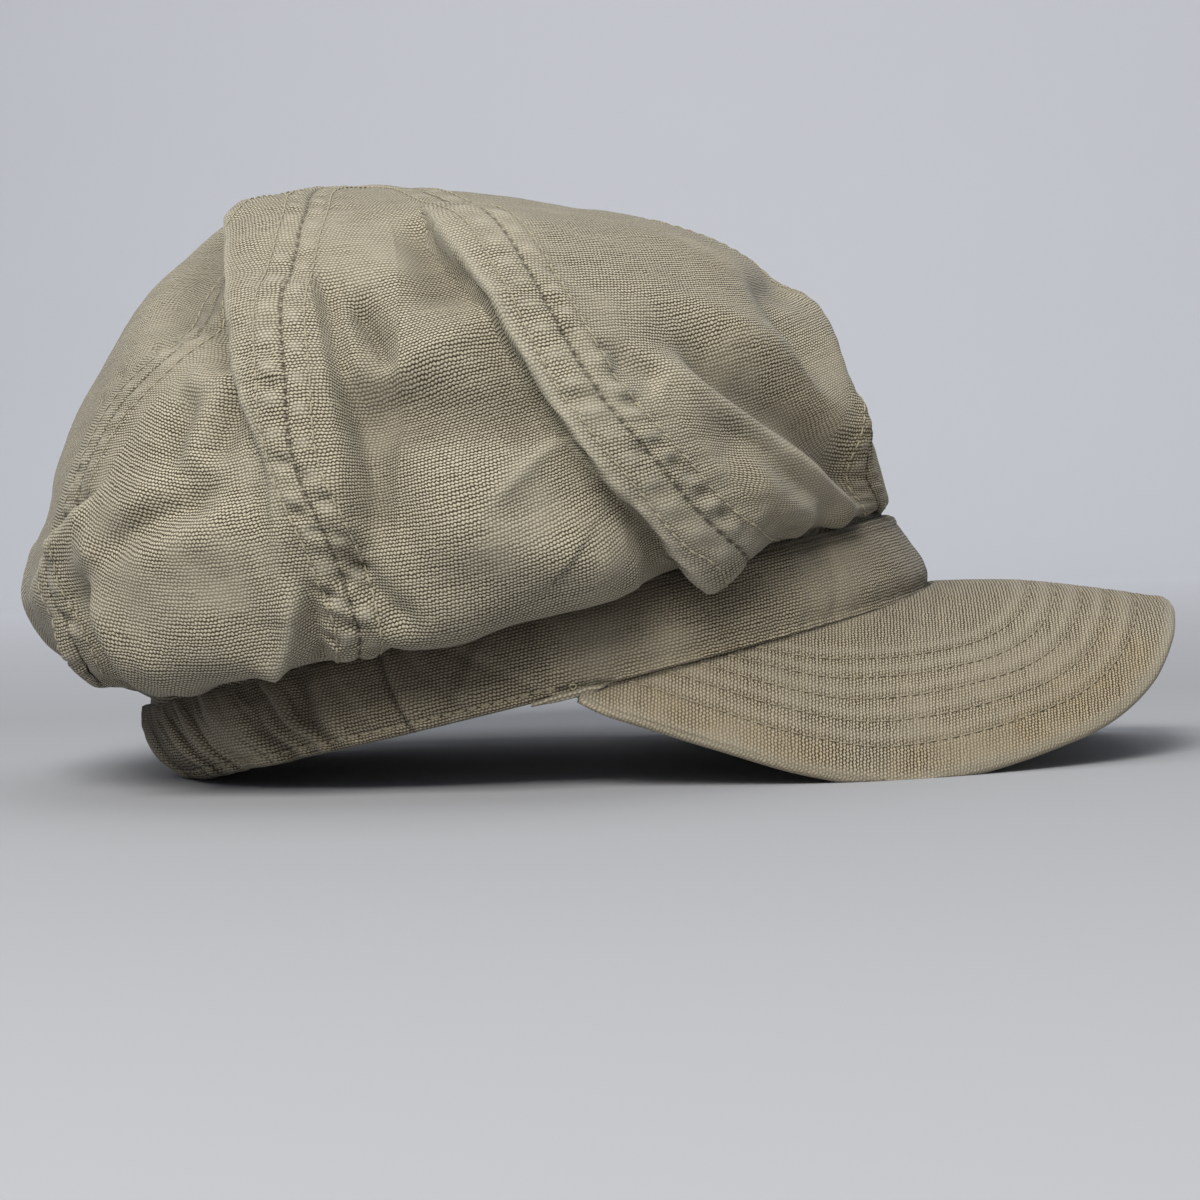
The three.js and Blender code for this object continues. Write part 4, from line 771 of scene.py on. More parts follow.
def build_panel(k):
    name = PANELS[k]
    seen = k in (0, 1, 2)
    half = k in (3, 7)
    nt, coarse = (320, 0.85) if seen else ((230, 1.3) if half else (190, 1.6))
    A, T = panel_grid(k, nt, coarse)
    n = len(SEAMS)
    fr = crown_frame(A, T)
    infos = []
    for seam in (k, (k + 1) % n):
        d, _ = line_distance(fr, A, T, SEAM_T, SEAMS[seam][1])
        infos.append((np.abs(d), seam, 1 if np.nanmedian(d) > 0 else -1))
    out, P, N, fh, shift, dark, wear = crown_surface(fr, A, T, infos)
    # painted shade in the hollows of the folds, darker the deeper the cloth lies
    dark = dark + 0.42 * np.clip((-fh - 0.7) / 4.2, 0, 1)
    rows, cols = T.shape
    U, _ = cloth_lengths(P + N * fh[..., None] + shift)
    _, V = cloth_lengths(P)
    wuv = np.stack([U + 300 * k, V, 0 * U], -1)
    # yellowed areas: the front panels' upper parts
    al = np.degrees(np.arctan2(np.sin(A), np.cos(A)))
    stain = step(60 - np.abs(al), 0, 35) * step(T, 0.35, 0.5) * (1 - 0.6 * step(T, 0.75, 0.95)) + 0.15
    # painted shade where the cloth turns under into the band
    dark = dark + 0.30 * step(T, 0.90, 0.99) + 0.45 * step(T, 0.975, 1.0)
    # the edge that is sewn into the band: three more rows, down between the band's faces
    last = A[-1]
    tuck = []
    for v, off in ((0.02, 1.25), (0.10, 1.3), (0.22, 1.3)):
        f = band_face(last, v + 0 * last)
        tuck.append(f + band_in(f) * off)
    tuck = np.array(tuck)
    out = np.concatenate([out, tuck])
    pad = lambda m, v: np.concatenate([m, np.repeat(m[-1:], 3, 0) * 0 + v])
    wt = np.repeat(wuv[-1:], 3, 0) + np.array([0, 2.0, 0]) * np.arange(1, 4)[:, None, None]
    wuv = np.concatenate([wuv, wt])
    # painted shade on the rows tucked down into the band
    dark, wear, stain = pad(dark, 0.6), pad(wear, 0.0), pad(stain, 0.2)
    # inner sheet, coarser and smoother
    ri = np.unique(np.concatenate([np.arange(0, rows, 3), [rows - 1]]))
    ci = np.unique(np.concatenate([np.arange(0, cols, 3), [cols - 1]]))
    gi, gj = np.meshgrid(ri, ci, indexing="ij")
    seamd = np.minimum(infos[0][0], infos[1][0])
    under = 0.5 * (1 - step(seamd, 5.0, 6.5)) + 0.8 * noise(P, 14.0, 70) * (1 - step(T, 0.95, 1.0))
    inner = P + N * (fh * 0.8 - CLOTH - 1.0 - under)[..., None] + shift * 0.6
    inner = inner[gi, gj]
    tail = np.array([band_face(last[ci], v + 0 * last[ci]) + band_in(band_face(last[ci], v + 0 * last[ci])) * 2.1 for v in (0.02, 0.15)])
    inner = np.concatenate([inner, tail])
    wi = wuv[gi, gj]
    wi = np.concatenate([wi, wi[-1:] + [0, 2.0, 0], wi[-1:] + [0, 4.0, 0]])
    m = wi.shape[0] * wi.shape[1]
    faces = np.concatenate([
        grid_faces(rows + 3, cols, 0),
        grid_faces(len(ri) + 2, len(ci), (rows + 3) * cols, flip=True),
    ])
    at = {
        "wuv": np.concatenate([wuv.reshape(-1, 3), wi.reshape(-1, 3)]),
        # painted shade over the whole inner sheet
        "pit": np.clip(np.concatenate([dark.ravel(), np.full(m, 0.25)]), 0, 1),
        "wear": np.clip(np.concatenate([wear.ravel(), np.zeros(m)]), 0, 1),
        "stain": np.concatenate([stain.ravel(), np.zeros(m)]),
    }
    ob = make_mesh("crown_" + name, np.concatenate([rest(out).reshape(-1, 3), rest(inner).reshape(-1, 3)]), faces, at, CROWN_MAT)
    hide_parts(name)
    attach(ob, "root")
    # stitch rows either side of each seam
    ON = unit(np.cross(np.gradient(out, axis=1), np.gradient(out, axis=0)))[:rows]
    ON = ON * np.sign((ON * N).sum(-1, keepdims=True))
    for x, seam, side in infos:
        line, nl = [], []
        for r in range(rows):
            if T[r, 0] < 0.075 or T[r, 0] > 0.975:
                continue
            order = np.arange(cols) if x[r, 0] < x[r, -1] else np.arange(cols)[::-1]
            xs = x[r][order]
            if xs.max() < ROW_AT + 0.5:
                continue
            j = int(np.argmax(xs > ROW_AT))
            f = (ROW_AT - xs[j - 1]) / (xs[j] - xs[j - 1] + 1e-9)
            line.append(out[r, order[j - 1]] * (1 - f) + out[r, order[j]] * f)
            nl.append(ON[r, order[j]])
        if len(line) > 4:
            stitch_rows("crown", np.array(line), np.array(nl))


for k in range(8):
    build_panel(k)


# ---------------------------------------------------------------- band
def build_band():
    cols = 860
    a = -np.linspace(0, 2 * math.pi, cols, endpoint=False)
    wall = 2.5
    # closed section: outer face down, round the bottom, inner face up, round the top
    sec = [(v, 0.0, 1) for v in np.linspace(0.03, 0.955, 30)]
    sec += [(0.955 + 0.045 * math.sin(f), wall * 0.5 * (1 - math.cos(f)), 2) for f in np.linspace(0.25, math.pi - 0.25, 7)]
    sec += [(v, wall, 3) for v in np.linspace(0.955, 0.05, 12)]
    sec += [(0.03 - 0.03 * math.sin(f), wall * 0.5 * (1 + math.cos(f)), 4) for f in np.linspace(0.3, math.pi - 0.3, 5)]
    sec = np.array(sec)
    V, AA = np.meshgrid(sec[:, 0], a, indexing="ij")
    OFF = np.repeat(sec[:, 1][:, None], cols, 1)
    kind = np.repeat(sec[:, 2][:, None], cols, 1)
    face = band_face(AA, V)
    inward = band_in(face)
    arc = np.concatenate([[0], np.cumsum(np.linalg.norm(np.diff(band_face(a, 0 * a + 0.6), axis=0), axis=1))])
    S = np.repeat(arc[None], len(sec), 0)
    H = 23.0
    y = (1 - V) * H  # height above the bottom edge
    al = np.degrees(np.arctan2(np.sin(AA), np.cos(AA)))
    outer = (kind < 2.5).astype(float)
    back = step(np.abs(al), 103, 134)
    # gathers over the elastic at the back
    gx = S + 1.6 * noise(np.stack([S, y * 1.5, 0 * S], -1), 9.0, 31) + 0.35 * (y - 10) * np.sign(al) * back
    fold = noise(np.stack([gx, y * 0.12, 0 * S], -1), (3.4, 5.0, 1.0), 32) * 2.5 + 0.8 * noise(np.stack([gx, y * 0.2, 0 * S], -1), (1.6, 3.0, 1.0), 33)
    h = back * (1 - 0.35 * step(np.abs(al), 128, 158)) * fold * (0.55 + 0.45 * np.sin(math.pi * np.clip(V, 0, 1)))
    # painted shade in the gathers' hollows; wear and painted highlight on their crests
    pit = np.clip(-fold, 0, 1) * 0.7 * back
    wear = np.clip(fold, 0, 1) * 0.35 * back
    # soft dents elsewhere
    h = h + (1 - back) * (0.55 * noise(np.stack([S, y, 0 * S], -1), (22.0, 12.0, 1.0), 34) + 0.22 * noise(np.stack([S, y, 0 * S], -1), (8.0, 6.0, 1.0), 35))
    # stitch row near the bottom, with puckers below it
    rowy = np.exp(-(((y - 2.7) / 0.6) ** 2)) * step(np.abs(al), 83, 91)
    pk = np.sin(2 * math.pi * S / 3.1 + 2.0 * noise(np.stack([S, 0 * S, 0 * S], -1), 14.0, 36))
    gate = 0.4 + 0.6 * step(noise(np.stack([S, 0 * S, 0 * S], -1), 30.0, 37), -0.4, 0.4)
    h -= 0.34 * rowy * outer
    h += 0.16 * pk * gate * np.exp(-(((y - 1.5) / 1.6) ** 2)) * outer
    h += 0.20 * np.sin(2 * math.pi * S / 9.5 + 3 * noise(np.stack([S, 0 * S, 0 * S], -1), 22.0, 38)) * np.exp(-(((y - 4.6) / 3.0) ** 2)) * gate * outer
    # painted shade in the stitch groove and between the puckers
    pit = pit + 0.30 * rowy * outer + 0.25 * np.clip(-pk, 0, 1) * np.exp(-(((y - 1.4) / 1.2) ** 2)) * gate * outer
    # creases where the strip is joined or has been folded: angle, depth, lean
    for ca, depth, lean, cw in CREASES:
        ad = np.degrees(np.arctan2(np.sin(AA - ca * D2R), np.cos(AA - ca * D2R)))
        x = ad * 1.42 + lean * (y - 10)
        cut = np.exp(-((x / cw) ** 2))
        h -= depth * 0.75 * cut * outer
        h += depth * 0.55 * np.exp(-(((x + 1.1 + cw) / (0.9 + 0.8 * cw)) ** 2)) * outer - depth * 0.25 * np.exp(-(((x - 3.4) / 3.0) ** 2)) * outer
        # painted shade in the crease; wear and painted highlight on the ridge beside it
        pit = pit + 0.5 * depth * cut * outer * min(1.0, 0.6 / cw)
        wear = wear + 0.1 * depth * np.exp(-(((x + 1.0 + cw) / 0.9) ** 2)) * outer
    # the folded top edge stands a little proud of the crown at the front
    h -= 0.3 * np.exp(-(((V - 0.13) / 0.022) ** 2)) * (1 - step(np.abs(al), 38, 50)) * outer
    flare = np.exp(-((V / 0.16) ** 2)) * (1 - step(np.abs(al), 40, 75))
    h += 1.2 * flare
    h += 0.10 * noise(np.stack([S, y, 0 * S], -1), 2.0, 39)
    h += (0.35 + 0.45 * (1 - step(np.abs(al), 80, 86))) * np.exp(-(((y - 0.7) / 1.0) ** 2)) * outer  # fuller lower fold
    # pocket above the strip beside the peak's end
    vp = 0.915 + 0.05 * (85.5 - al) / 7.5
    pocket = np.exp(-(((V - vp) / 0.022) ** 2)) * step(al, 77.3, 79.5) * (1 - step(al, 85.2, 86.8)) * outer
    h = h - 1.1 * pocket
    # painted shade in the pocket
    pit = pit + 1.0 * pocket
    damp = np.where(kind > 3.5, 0.7, np.where(kind > 2.5, 0.35, 1.0))
    out = face + inward * (OFF - h * damp)[..., None]
    # gathers at the back also make the lower edge wave a little
    out[..., 2] += back * 0.5 * noise(np.stack([S, 0 * S, 0 * S], -1), 6.0, 40)
    rows = len(sec)
    depth_v = np.concatenate([[0], np.cumsum(np.linalg.norm(np.diff(out[:, 0], axis=0), axis=1))])
    wuv = np.stack([S, np.repeat(depth_v[:, None], cols, 1), 0 * S], -1) + 3000
    quads = grid_faces(rows, cols, 0, round_=True)
    # close the section: last row back to the first
    j = np.arange(cols)
    j2 = (j + 1) % cols
    close = np.stack([(rows - 1) * cols + j, j, j2, (rows - 1) * cols + j2], -1)
    quads = np.concatenate([quads, close])
    # painted shadow of the crown's overhanging edge on the band
    shade = (1 - step(V, 0.02, 0.72)) * step(np.abs(al), 40, 64) * outer
    shade = np.maximum(shade, (1 - step(V, 0.05, 0.26)) * step(np.abs(al), 22, 36) * outer)
    shade = np.maximum(shade, 0.75 * (1 - step(V, 0.40, 1.05)) * step(al, 84, 96) * (1 - step(al, 120, 134)) * outer)
    pit = pit + 0.92 * shade
    # painted shade in the crevice under the crown
    pit = pit + 0.8 * np.exp(-((V / 0.045) ** 2)) * outer  # crevice under the crown
    # painted shade on the band's rounded lower edge, except beside the peak
    pit = pit + 0.9 * (np.abs(kind - 2) < 0.5) * step(OFF, 0.1, 0.8) * (1 - step(np.abs(al), 84, 90))
    # painted shade in the groove under the folded top edge at the front
    pit = pit + 0.4 * np.exp(-(((V - 0.13) / 0.022) ** 2)) * (1 - step(np.abs(al), 38, 50)) * outer
    at = {"wuv": wuv.reshape(-1, 3), "pit": np.clip(pit, 0, 1).ravel(), "wear": np.clip(wear, 0, 1).ravel(),
          "stain": (0.35 + 0.3 * step(y, 8, 0)).ravel()}
    ob = make_mesh("cloth_band", rest(out).reshape(-1, 3), quads, at, BAND_MAT)
    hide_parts("band")
    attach(ob, "root")
    r = int(np.argmin(np.abs(y[:, 0] - 2.7) + 100 * (kind[:, 0] > 1.5)))
    nrm = -inward[r]
    stitch_rows("band", np.vstack([out[r], out[r][:1]]), np.vstack([nrm, nrm[:1]]), keep=lambda q: q[0] < 12.0)
    return out


BAND_OUT = build_band()

# ---------------------------------------------------------------- peak
PEAK = np.array([
    [0, 158, 0, 44.5], [8, 157.3, 14, 42.3], [15, 155.0, 27, 36.8], [22, 149.5, 37.5, 28],
    [30, 138.5, 47.5, 19.2], [37, 126, 55.5, 14.2], [45, 108, 64.2, 9.0], [52, 90, 71.3, 6.3],
    [60, 69, 76.6, 9.2], [68, 49, 79.8, 15.0], [76, 30, 81.4, 20.9], [80, 23, 81.2, 23.1], [84, 17, 80.3, 25.7],
], float)
PEAK_END = 84.0
PEAK_CROWNING = 2.2
PEAK_HALF = 1.5
PEAK_ROWS = (8.6, 15.3, 21.8, 28.3, 34.6)


def peak_mid(deg, s, drop):
    side = np.where(deg < 0, -1.0, 1.0)
    d = np.abs(deg)
    f = band_face(deg * D2R, np.ones_like(deg))
    fall = unit(np.array([-(47.5 - 0.4), 0, 98.6 + 88.5]))
    root = f + band_in(f) * 1.3 - fall * drop[..., None]
    e = cubic(PEAK, d)
    edge = np.stack([e[..., 0], -side * e[..., 1], e[..., 2]], -1)
    along = edge - root
    tilt = np.stack([0.25 + 0 * side, -side, 0 * side], -1) / math.hypot(0.25, 1)
    arch = unit(np.array([0, 0, 1.0]) + tilt * np.sin(np.minimum(d, 80) * D2R)[..., None])
    length = np.linalg.norm(along, axis=-1)
    reach = np.minimum(1, length / 40)
    return root + along * s[..., None] + arch * (4 * s * (1 - s) * PEAK_CROWNING * reach)[..., None], length


def build_peak():
    cols = 420
    ns = 84
    # even steps along the outer edge
    dd = np.linspace(-PEAK_END, PEAK_END, 2001)
    e = cubic(PEAK, np.abs(dd))
    e[:, 1] *= -np.sign(dd)
    L = np.concatenate([[0], np.cumsum(np.linalg.norm(np.diff(e, axis=0), axis=1))])
    deg = np.interp(np.linspace(0, L[-1], cols), L, dd)
    edge_len = np.linspace(0, L[-1], cols)
    top_s = np.linspace(0, 1, ns)
    bot_s = np.linspace(1, 0, max(16, ns // 2))
    nose = np.linspace(0, math.pi, 9)[1:-1]

    def at(deg2, s2):
        return peak_mid(deg2, s2, np.full(deg2.shape, -1.0))

    def half_thick(deg2, root_mm):
        """Thinner where it is sewn into the band and at the two end corners."""
        end = 1 - 0.42 * step(np.abs(deg2), 76, PEAK_END)
        return PEAK_HALF * end * (0.55 + 0.45 * step(root_mm, 0.6, 3.2))

    def frame_of(deg2, s2):
        es, ed = 0.02, 1.0
        a1, _ = at(deg2, np.minimum(1, s2 + es))
        a0, _ = at(deg2, np.maximum(0, s2 - es))
        b1, _ = at(np.minimum(PEAK_END, deg2 + ed), s2)
        b0, _ = at(np.maximum(-PEAK_END, deg2 - ed), s2)
        ds, db = unit(a1 - a0), unit(b1 - b0)
        nn = unit(np.cross(db, ds))
        outw = unit(np.cross(nn, db))
        outw = outw * np.sign((outw * ds).sum(-1, keepdims=True))
        return nn, outw, db

    DG, SS = np.meshgrid(deg, top_s, indexing="ij")
    Pm, LEN = at(DG, SS)
    nn, outw, db = frame_of(DG, SS)
    w = (1 - SS) * LEN  # distance in from the outer edge
    EL = np.repeat(edge_len[:, None], ns, 1)
    pk = np.sin(2 * math.pi * EL / 3.1)
    h = 0 * w
    pit = 0 * w
    wear = 0 * w
    for i, rw in enumerate(PEAK_ROWS):
        fade = step(LEN, rw + 1.0, rw + 4.0)
        line = np.exp(-(((w - rw) / 0.75) ** 2)) * fade
        h -= 0.27 * line
        h += 0.10 * pk * np.exp(-(((w - rw) / 2.0) ** 2)) * fade
        # painted shade in each stitch row
        pit += 0.12 * line
        # wear and painted highlight on the puff beside each row
        wear += 0.25 * np.exp(-(((w - rw - 2.6) / 1.4) ** 2)) * fade
    h += 0.28 * np.exp(-(((w - 1.6) / 1.8) ** 2))
    # wear and painted highlight along the rolled outer edge
    wear += 0.55 * np.exp(-((w / 1.6) ** 2))
    ripple = noise(np.stack([EL, w * 0.35, 0 * w], -1), (7.0, 5.0, 1.0), 51)
    h += 0.22 * ripple * np.exp(-((w / 7.0) ** 2))
    h += 0.30 * noise(Pm, 24.0, 52) + 0.10 * noise(Pm, 7.0, 53)
    h *= step(w, -0.1, 0.5) * 1.0
    rootd = SS * LEN
    # shadowed groove where it comes out from under the band, with painted shade over the part near the band and a
    # painted shadow line along the groove
    h -= 0.80 * np.exp(-(((rootd - 2.1) / 0.9) ** 2)) * step(LEN, 2.5, 6.0)
    pit += 0.30 * np.exp(-((rootd / 15.0) ** 2))
    pit += 1.0 * np.exp(-((np.maximum(rootd - 1.9 - 0.4 * noise(Pm, 6.0, 54), 0) / 1.1) ** 2))
    top = Pm + nn * (half_thick(DG, rootd) + h * step(rootd, 0.0, 1.2))[..., None]
    # rounded outer edge
    DN, FN = np.meshgrid(deg, nose, indexing="ij")
    one = np.ones_like(DN)
    Pn, _ = at(DN, one)
    n2, o2, _ = frame_of(DN, one)
    edge_bulge = 1.35
    hn = half_thick(DN, 40.0)
    nosep = Pn + n2 * (hn * np.cos(FN))[..., None] + o2 * (edge_bulge * np.sin(FN))[..., None]
    # under side
    DB, SB = np.meshgrid(deg, bot_s, indexing="ij")
    Pb, LB = at(DB, SB)
    n3, _, _ = frame_of(DB, SB)
    wb_ = (1 - SB) * LB
    hb = 0 * wb_
    pitb = 0 * wb_
    for rw in PEAK_ROWS:
        line = np.exp(-(((wb_ - rw) / 0.9) ** 2)) * step(LB, rw + 1, rw + 4)
        hb -= 0.25 * line
        # painted shade in the stitch rows underneath
        pitb += 0.35 * line
    under = Pb - n3 * (half_thick(DB, SB * LB) + hb)[..., None]
    allp = np.concatenate([top, nosep, under], 1)
    rows, cl = allp.shape[:2]
    ELa = np.repeat(edge_len[:, None], cl, 1)
    # weave coordinates: laid across the peak, measured round its bend
    mid = rows // 2
    cross = lambda q, ax: np.hypot(np.diff(q[..., 1], axis=ax), np.diff(q[..., 2], axis=ax))
    root_u = np.concatenate([[0], np.cumsum(cross(allp[:, 0], 0))])
    root_u = root_u[rows // 2] - root_u
    side_s = np.where(deg < 0, 1.0, -1.0)
    out_u = np.concatenate([np.zeros((rows, 1)), np.cumsum(cross(allp[:, :ns], 1), 1)], 1)
    u_top = root_u[:, None] + side_s[:, None] * out_u
    u_all = np.concatenate([u_top, np.zeros((rows, len(nose))), u_top[:, ::-1][:, np.round(np.linspace(0, ns - 1, len(bot_s))).astype(int)]], 1)
    wuv = np.stack([u_all + 5000, allp[..., 0] + 5000 + 40 * (np.arange(cl)[None] >= ns + len(nose)), 0 * u_all], -1)
    # round the outer edge the weave runs on at its true length
    k0 = ns - 1
    heading = unit(wuv[:, k0] - wuv[:, k0 - 4])
    run = np.cumsum(np.linalg.norm(np.diff(allp[:, k0:k0 + len(nose) + 1], axis=1), axis=2), 1)
    wuv[:, k0 + 1:k0 + 1 + len(nose)] = wuv[:, k0][:, None] + heading[:, None] * run[..., None]
    pad = cl - ns
    pitf = np.concatenate([pit, np.zeros((rows, len(nose))), pitb], 1)
    # wear and painted highlight on the rolled outer edge
    wearf = np.concatenate([wear, np.full((rows, len(nose)), 0.5), np.zeros_like(pitb)], 1)
    stain = np.concatenate([0.35 + 0.9 * np.exp(-((w / 12.0) ** 2)), np.full((rows, len(nose)), 1.0), 0.3 + 0 * pitb], 1)
    quads = grid_faces(rows, cl, 0, flip=True)
    # root and the two ends
    i = np.arange(rows - 1)
    rootq = np.stack([i * cl, i * cl + cl - 1, (i + 1) * cl + cl - 1, (i + 1) * cl], -1)
    quads = np.concatenate([quads, rootq])
    ends = []
    nb = len(bot_s)
    caps_v, caps_f, caps_src = [], [], []
    for r, fl in ((0, False), (rows - 1, True)):
        lo = r * cl
        m = min(ns, nb + len(nose)) - 1
        ti = np.round(np.linspace(0, ns - 1, m + 1)).astype(int)
        bi = np.round(np.linspace(cl - 1, ns - 1, m + 1)).astype(int)
        q = np.stack([lo + ti[:-1], lo + ti[1:], lo + bi[1:], lo + bi[:-1]], -1)
        ends.append(q[:, ::-1] if fl else q)
    quads = np.concatenate([quads] + ends)
    at_ = {"wuv": wuv.reshape(-1, 3), "pit": np.clip(pitf, 0, 1).ravel(), "wear": np.clip(wearf, 0, 1).ravel(), "stain": np.clip(stain, 0, 1).ravel()}
    ob = make_mesh("cloth_peak", rest(allp).reshape(-1, 3), quads, at_, PEAK_MAT)
    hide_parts("peak")
    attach(ob, "root")
    for rw in PEAK_ROWS:
        pts, nm = [], []
        for r in range(rows):
            if LEN[r, 0] < rw + 2.0:
                if len(pts) > 3:
                    stitch_rows("peak", np.array(pts), np.array(nm), 3.0)
                pts, nm = [], []
                continue
            s = 1 - rw / LEN[r, 0]
            j = s * (ns - 1)
            j0 = int(min(ns - 2, math.floor(j)))
            f = j - j0
            pts.append(top[r, j0] * (1 - f) + top[r, j0 + 1] * f)
            nm.append(nn[r, j0])
        if len(pts) > 3:
            stitch_rows("peak", np.array(pts), np.array(nm), 3.0)


build_peak()


# ---------------------------------------------------------------- loose edge below the band
def build_edge_strip():
    """A narrow edge of the peak's facing that shows below the band beside the peak's end, and a loop of loose thread."""
    n, m = 110, 9
    deg = np.linspace(79.0, 89.5, n)
    q = np.linspace(0, 1, m)
    DG, Q = np.meshgrid(deg, q, indexing="ij")
    f = band_face(DG * D2R, np.ones_like(DG))
    outw = -band_in(f)
    k = (DG - 79.0) / 10.5
    wide = 1.65 * step(k, -0.05, 0.30) * (1 - 0.45 * step(k, 0.62, 1.0)) + 0.15
    wob = 0.22 * noise(np.stack([DG * 1.4, Q * 2, 0 * Q], -1), 3.0, 71)
    proud = (1.15 + 0.75 * (1 - step(k, 0.45, 0.75))) * step(k, -0.02, 0.12) * (1 - 0.85 * step(k, 0.72, 1.0)) - 0.1
    drop = (Q - 0.5) * wide + 0.30 * (k - 0.45)
    top = f + outw * (proud + 0.40 * np.sin(math.pi * Q) * step(k, 0, 0.2) + wob * step(k, 0, 0.2))[..., None] - np.array([0.0, 0.0, 1.0]) * drop[..., None]
    low = top - outw * 0.80
    rows = np.concatenate([top, low[:, ::-1]], 1)
    c = 2 * m
    quads = grid_faces(n, c, 0, round_=True)
    lids = []
    for r, fl in ((0, True), (n - 1, False)):
        lid = np.array([[r * c + i, r * c + i + 1, r * c + c - 2 - i, r * c + c - 1 - i] for i in range(m - 1)])
        lids.append(lid[:, ::-1] if fl else lid)
    quads = np.concatenate([quads] + lids)
    U = (DG - 79.0) * 1.42
    wuv = np.stack([np.concatenate([U, U], 1), np.concatenate([Q * wide, (Q * wide)[:, ::-1] + 4], 1), np.zeros((n, c))], -1) + 9000
    flat = np.zeros(n * c)
    ob = make_mesh("edge_strip", rest(rows).reshape(-1, 3), quads[:, ::-1], {"wuv": wuv.reshape(-1, 3), "pit": flat + 0.1, "wear": flat + 0.35, "stain": flat + 0.3}, PEAK_MAT)
    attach(ob, "root")
    # loop of thread
    f0 = band_face(np.array([84.0 * D2R]), np.array([1.0]))[0] + np.array([0, 0, 1.65])
    o0 = -band_in(f0[None])[0]
    along = unit(np.cross(o0, np.array([0.0, 0.0, 1.0])))
    g = np.linspace(-0.35, 2 * math.pi - 0.6, 34)
    mid = f0 + o0 * 1.25 + along * (0.70 * np.cos(g) + 0.12 * np.sin(2 * g))[:, None] + np.array([0, 0, 1.0]) * (0.60 * np.sin(g))[:, None] + o0 * (0.30 * np.sin(g * 1.5))[:, None]
    tan = unit(np.gradient(mid, axis=0))
    sd = unit(np.cross(tan, o0))
    up = np.cross(sd, tan)
    ang = np.linspace(0, 2 * math.pi, 8, endpoint=False)
    tube = mid[:, None] + 0.17 * (sd[:, None] * np.cos(ang)[None, :, None] + up[:, None] * np.sin(ang)[None, :, None])
    faces = [tuple(v) for v in grid_faces(len(g), 8, 0, round_=True)]
    last = (len(g) - 1) * 8
    faces += [(0, 1, 2, 3), (0, 3, 4, 7), (4, 5, 6, 7), (last + 3, last + 2, last + 1, last), (last + 7, last + 4, last + 3, last), (last + 7, last + 6, last + 5, last + 4)]
    lp = make_mesh("loose_thread", rest(tube).reshape(-1, 3), np.array(faces), {"wuv": tube.reshape(-1, 3)}, THREAD_MAT)
    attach(lp, "root")


build_edge_strip()


# ---------------------------------------------------------------- button
def build_button():
    nr, na = 30, 96
    f = np.linspace(0, 1, nr)
    R = 9.4
    rr = np.concatenate([R * np.sin(f * math.pi / 2) ** 0.9, R - 0.2 * np.ones(1), np.array([R - 1.4, R - 4.5, 2.8, 2.6])])
    zz = np.concatenate([3.3 * np.cos(f * math.pi / 2) ** 0.75 + 0.5, np.array([-0.2]), np.array([-0.7, -0.75, -0.9, -4.0])])
    al = np.linspace(0, 2 * math.pi, na, endpoint=False)
    A, Rr = np.meshgrid(al, rr)
    Z = np.repeat(zz[:, None], na, 1)
    pleat = np.sin(A * 14 + 2 * np.sin(A * 3)) * step(Rr, 6.4, 9.0) * (Z > -0.5)
    Z = Z + 0.16 * pleat + 0.12 * noise(np.stack([np.cos(A) * Rr, np.sin(A) * Rr, 0 * Rr], -1), 3.0, 61)
    Rr = Rr + 0.12 * pleat
    X, Y = Rr * np.cos(A), Rr * np.sin(A)
    tilt = 1.0 * D2R
    P = np.stack([X * math.cos(tilt) + Z * math.sin(tilt), Y, -X * math.sin(tilt) + Z * math.cos(tilt)], -1) + np.array([-40, 0, 146.9])
    rows = len(rr)
    quads = grid_faces(rows, na, 0, round_=True, flip=False)
    # painted shade in the pleats; wear and painted highlight round the dome's rim
    at = {"wuv": np.stack([X + 7000, Y + 7000, 0 * X], -1).reshape(-1, 3), "pit": np.clip(-0.3 * pleat, 0, 1).ravel(),
          "wear": np.clip(0.4 * np.exp(-(((Rr - 7.5) / 1.5) ** 2)), 0, 1).ravel(), "stain": 0.3 + 0 * X.ravel()}
    ob = make_mesh("cloth_button", rest(P).reshape(-1, 3), quads, at, CROWN_MAT)
    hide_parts("top_button")
    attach(ob, "root")


build_button()


# ---------------------------------------------------------------- thread
def build_stitches(group, mat, radius=0.24):
    rows = STITCHES[group]
    if not rows:
        return
    rings, around = 5, 6
    vs, fs = [], []
    ang = np.linspace(0, 2 * math.pi, around, endpoint=False)
    prof = [(0.0, 0.35), (0.18, 0.9), (0.5, 1.0), (0.82, 0.9), (1.0, 0.35)]
    for q, m in rows:
        start = len(vs)
        d = unit(q[2] - q[0])
        side = unit(np.cross(d, m))
        up = np.cross(side, d)
        for s, k in prof:
            c = q[0] * (1 - s) * (1 - s) + 2 * q[1] * s * (1 - s) + q[2] * s * s
            c = c + m * (0.10 + 0.16 * math.sin(math.pi * s) - 0.22 * (1 - k))
            for g in ang:
                vs.append(c + (side * math.cos(g) + up * math.sin(g) * 0.8) * radius * k)
        for i in range(rings - 1):
            for j in range(around):
                j2 = (j + 1) % around
                fs.append((start + i * around + j, start + i * around + j2, start + (i + 1) * around + j2, start + (i + 1) * around + j))
        for i, rev in ((0, True), (rings - 1, False)):
            b = start + i * around
            for quad in ((b, b + 1, b + 2, b + 3), (b, b + 3, b + 4, b + 5)):
                fs.append(quad[::-1] if rev else quad)
    v = np.array(vs)
    at = {"wuv": v * 1.0}
    ob = make_mesh("thread_" + group, rest(v), np.array(fs), at, mat)
    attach(ob, "root")
    return ob


build_stitches("crown", THREAD_MAT)
build_stitches("band", DARK_THREAD_MAT, 0.21)
build_stitches("peak", DARK_THREAD_MAT, 0.2)


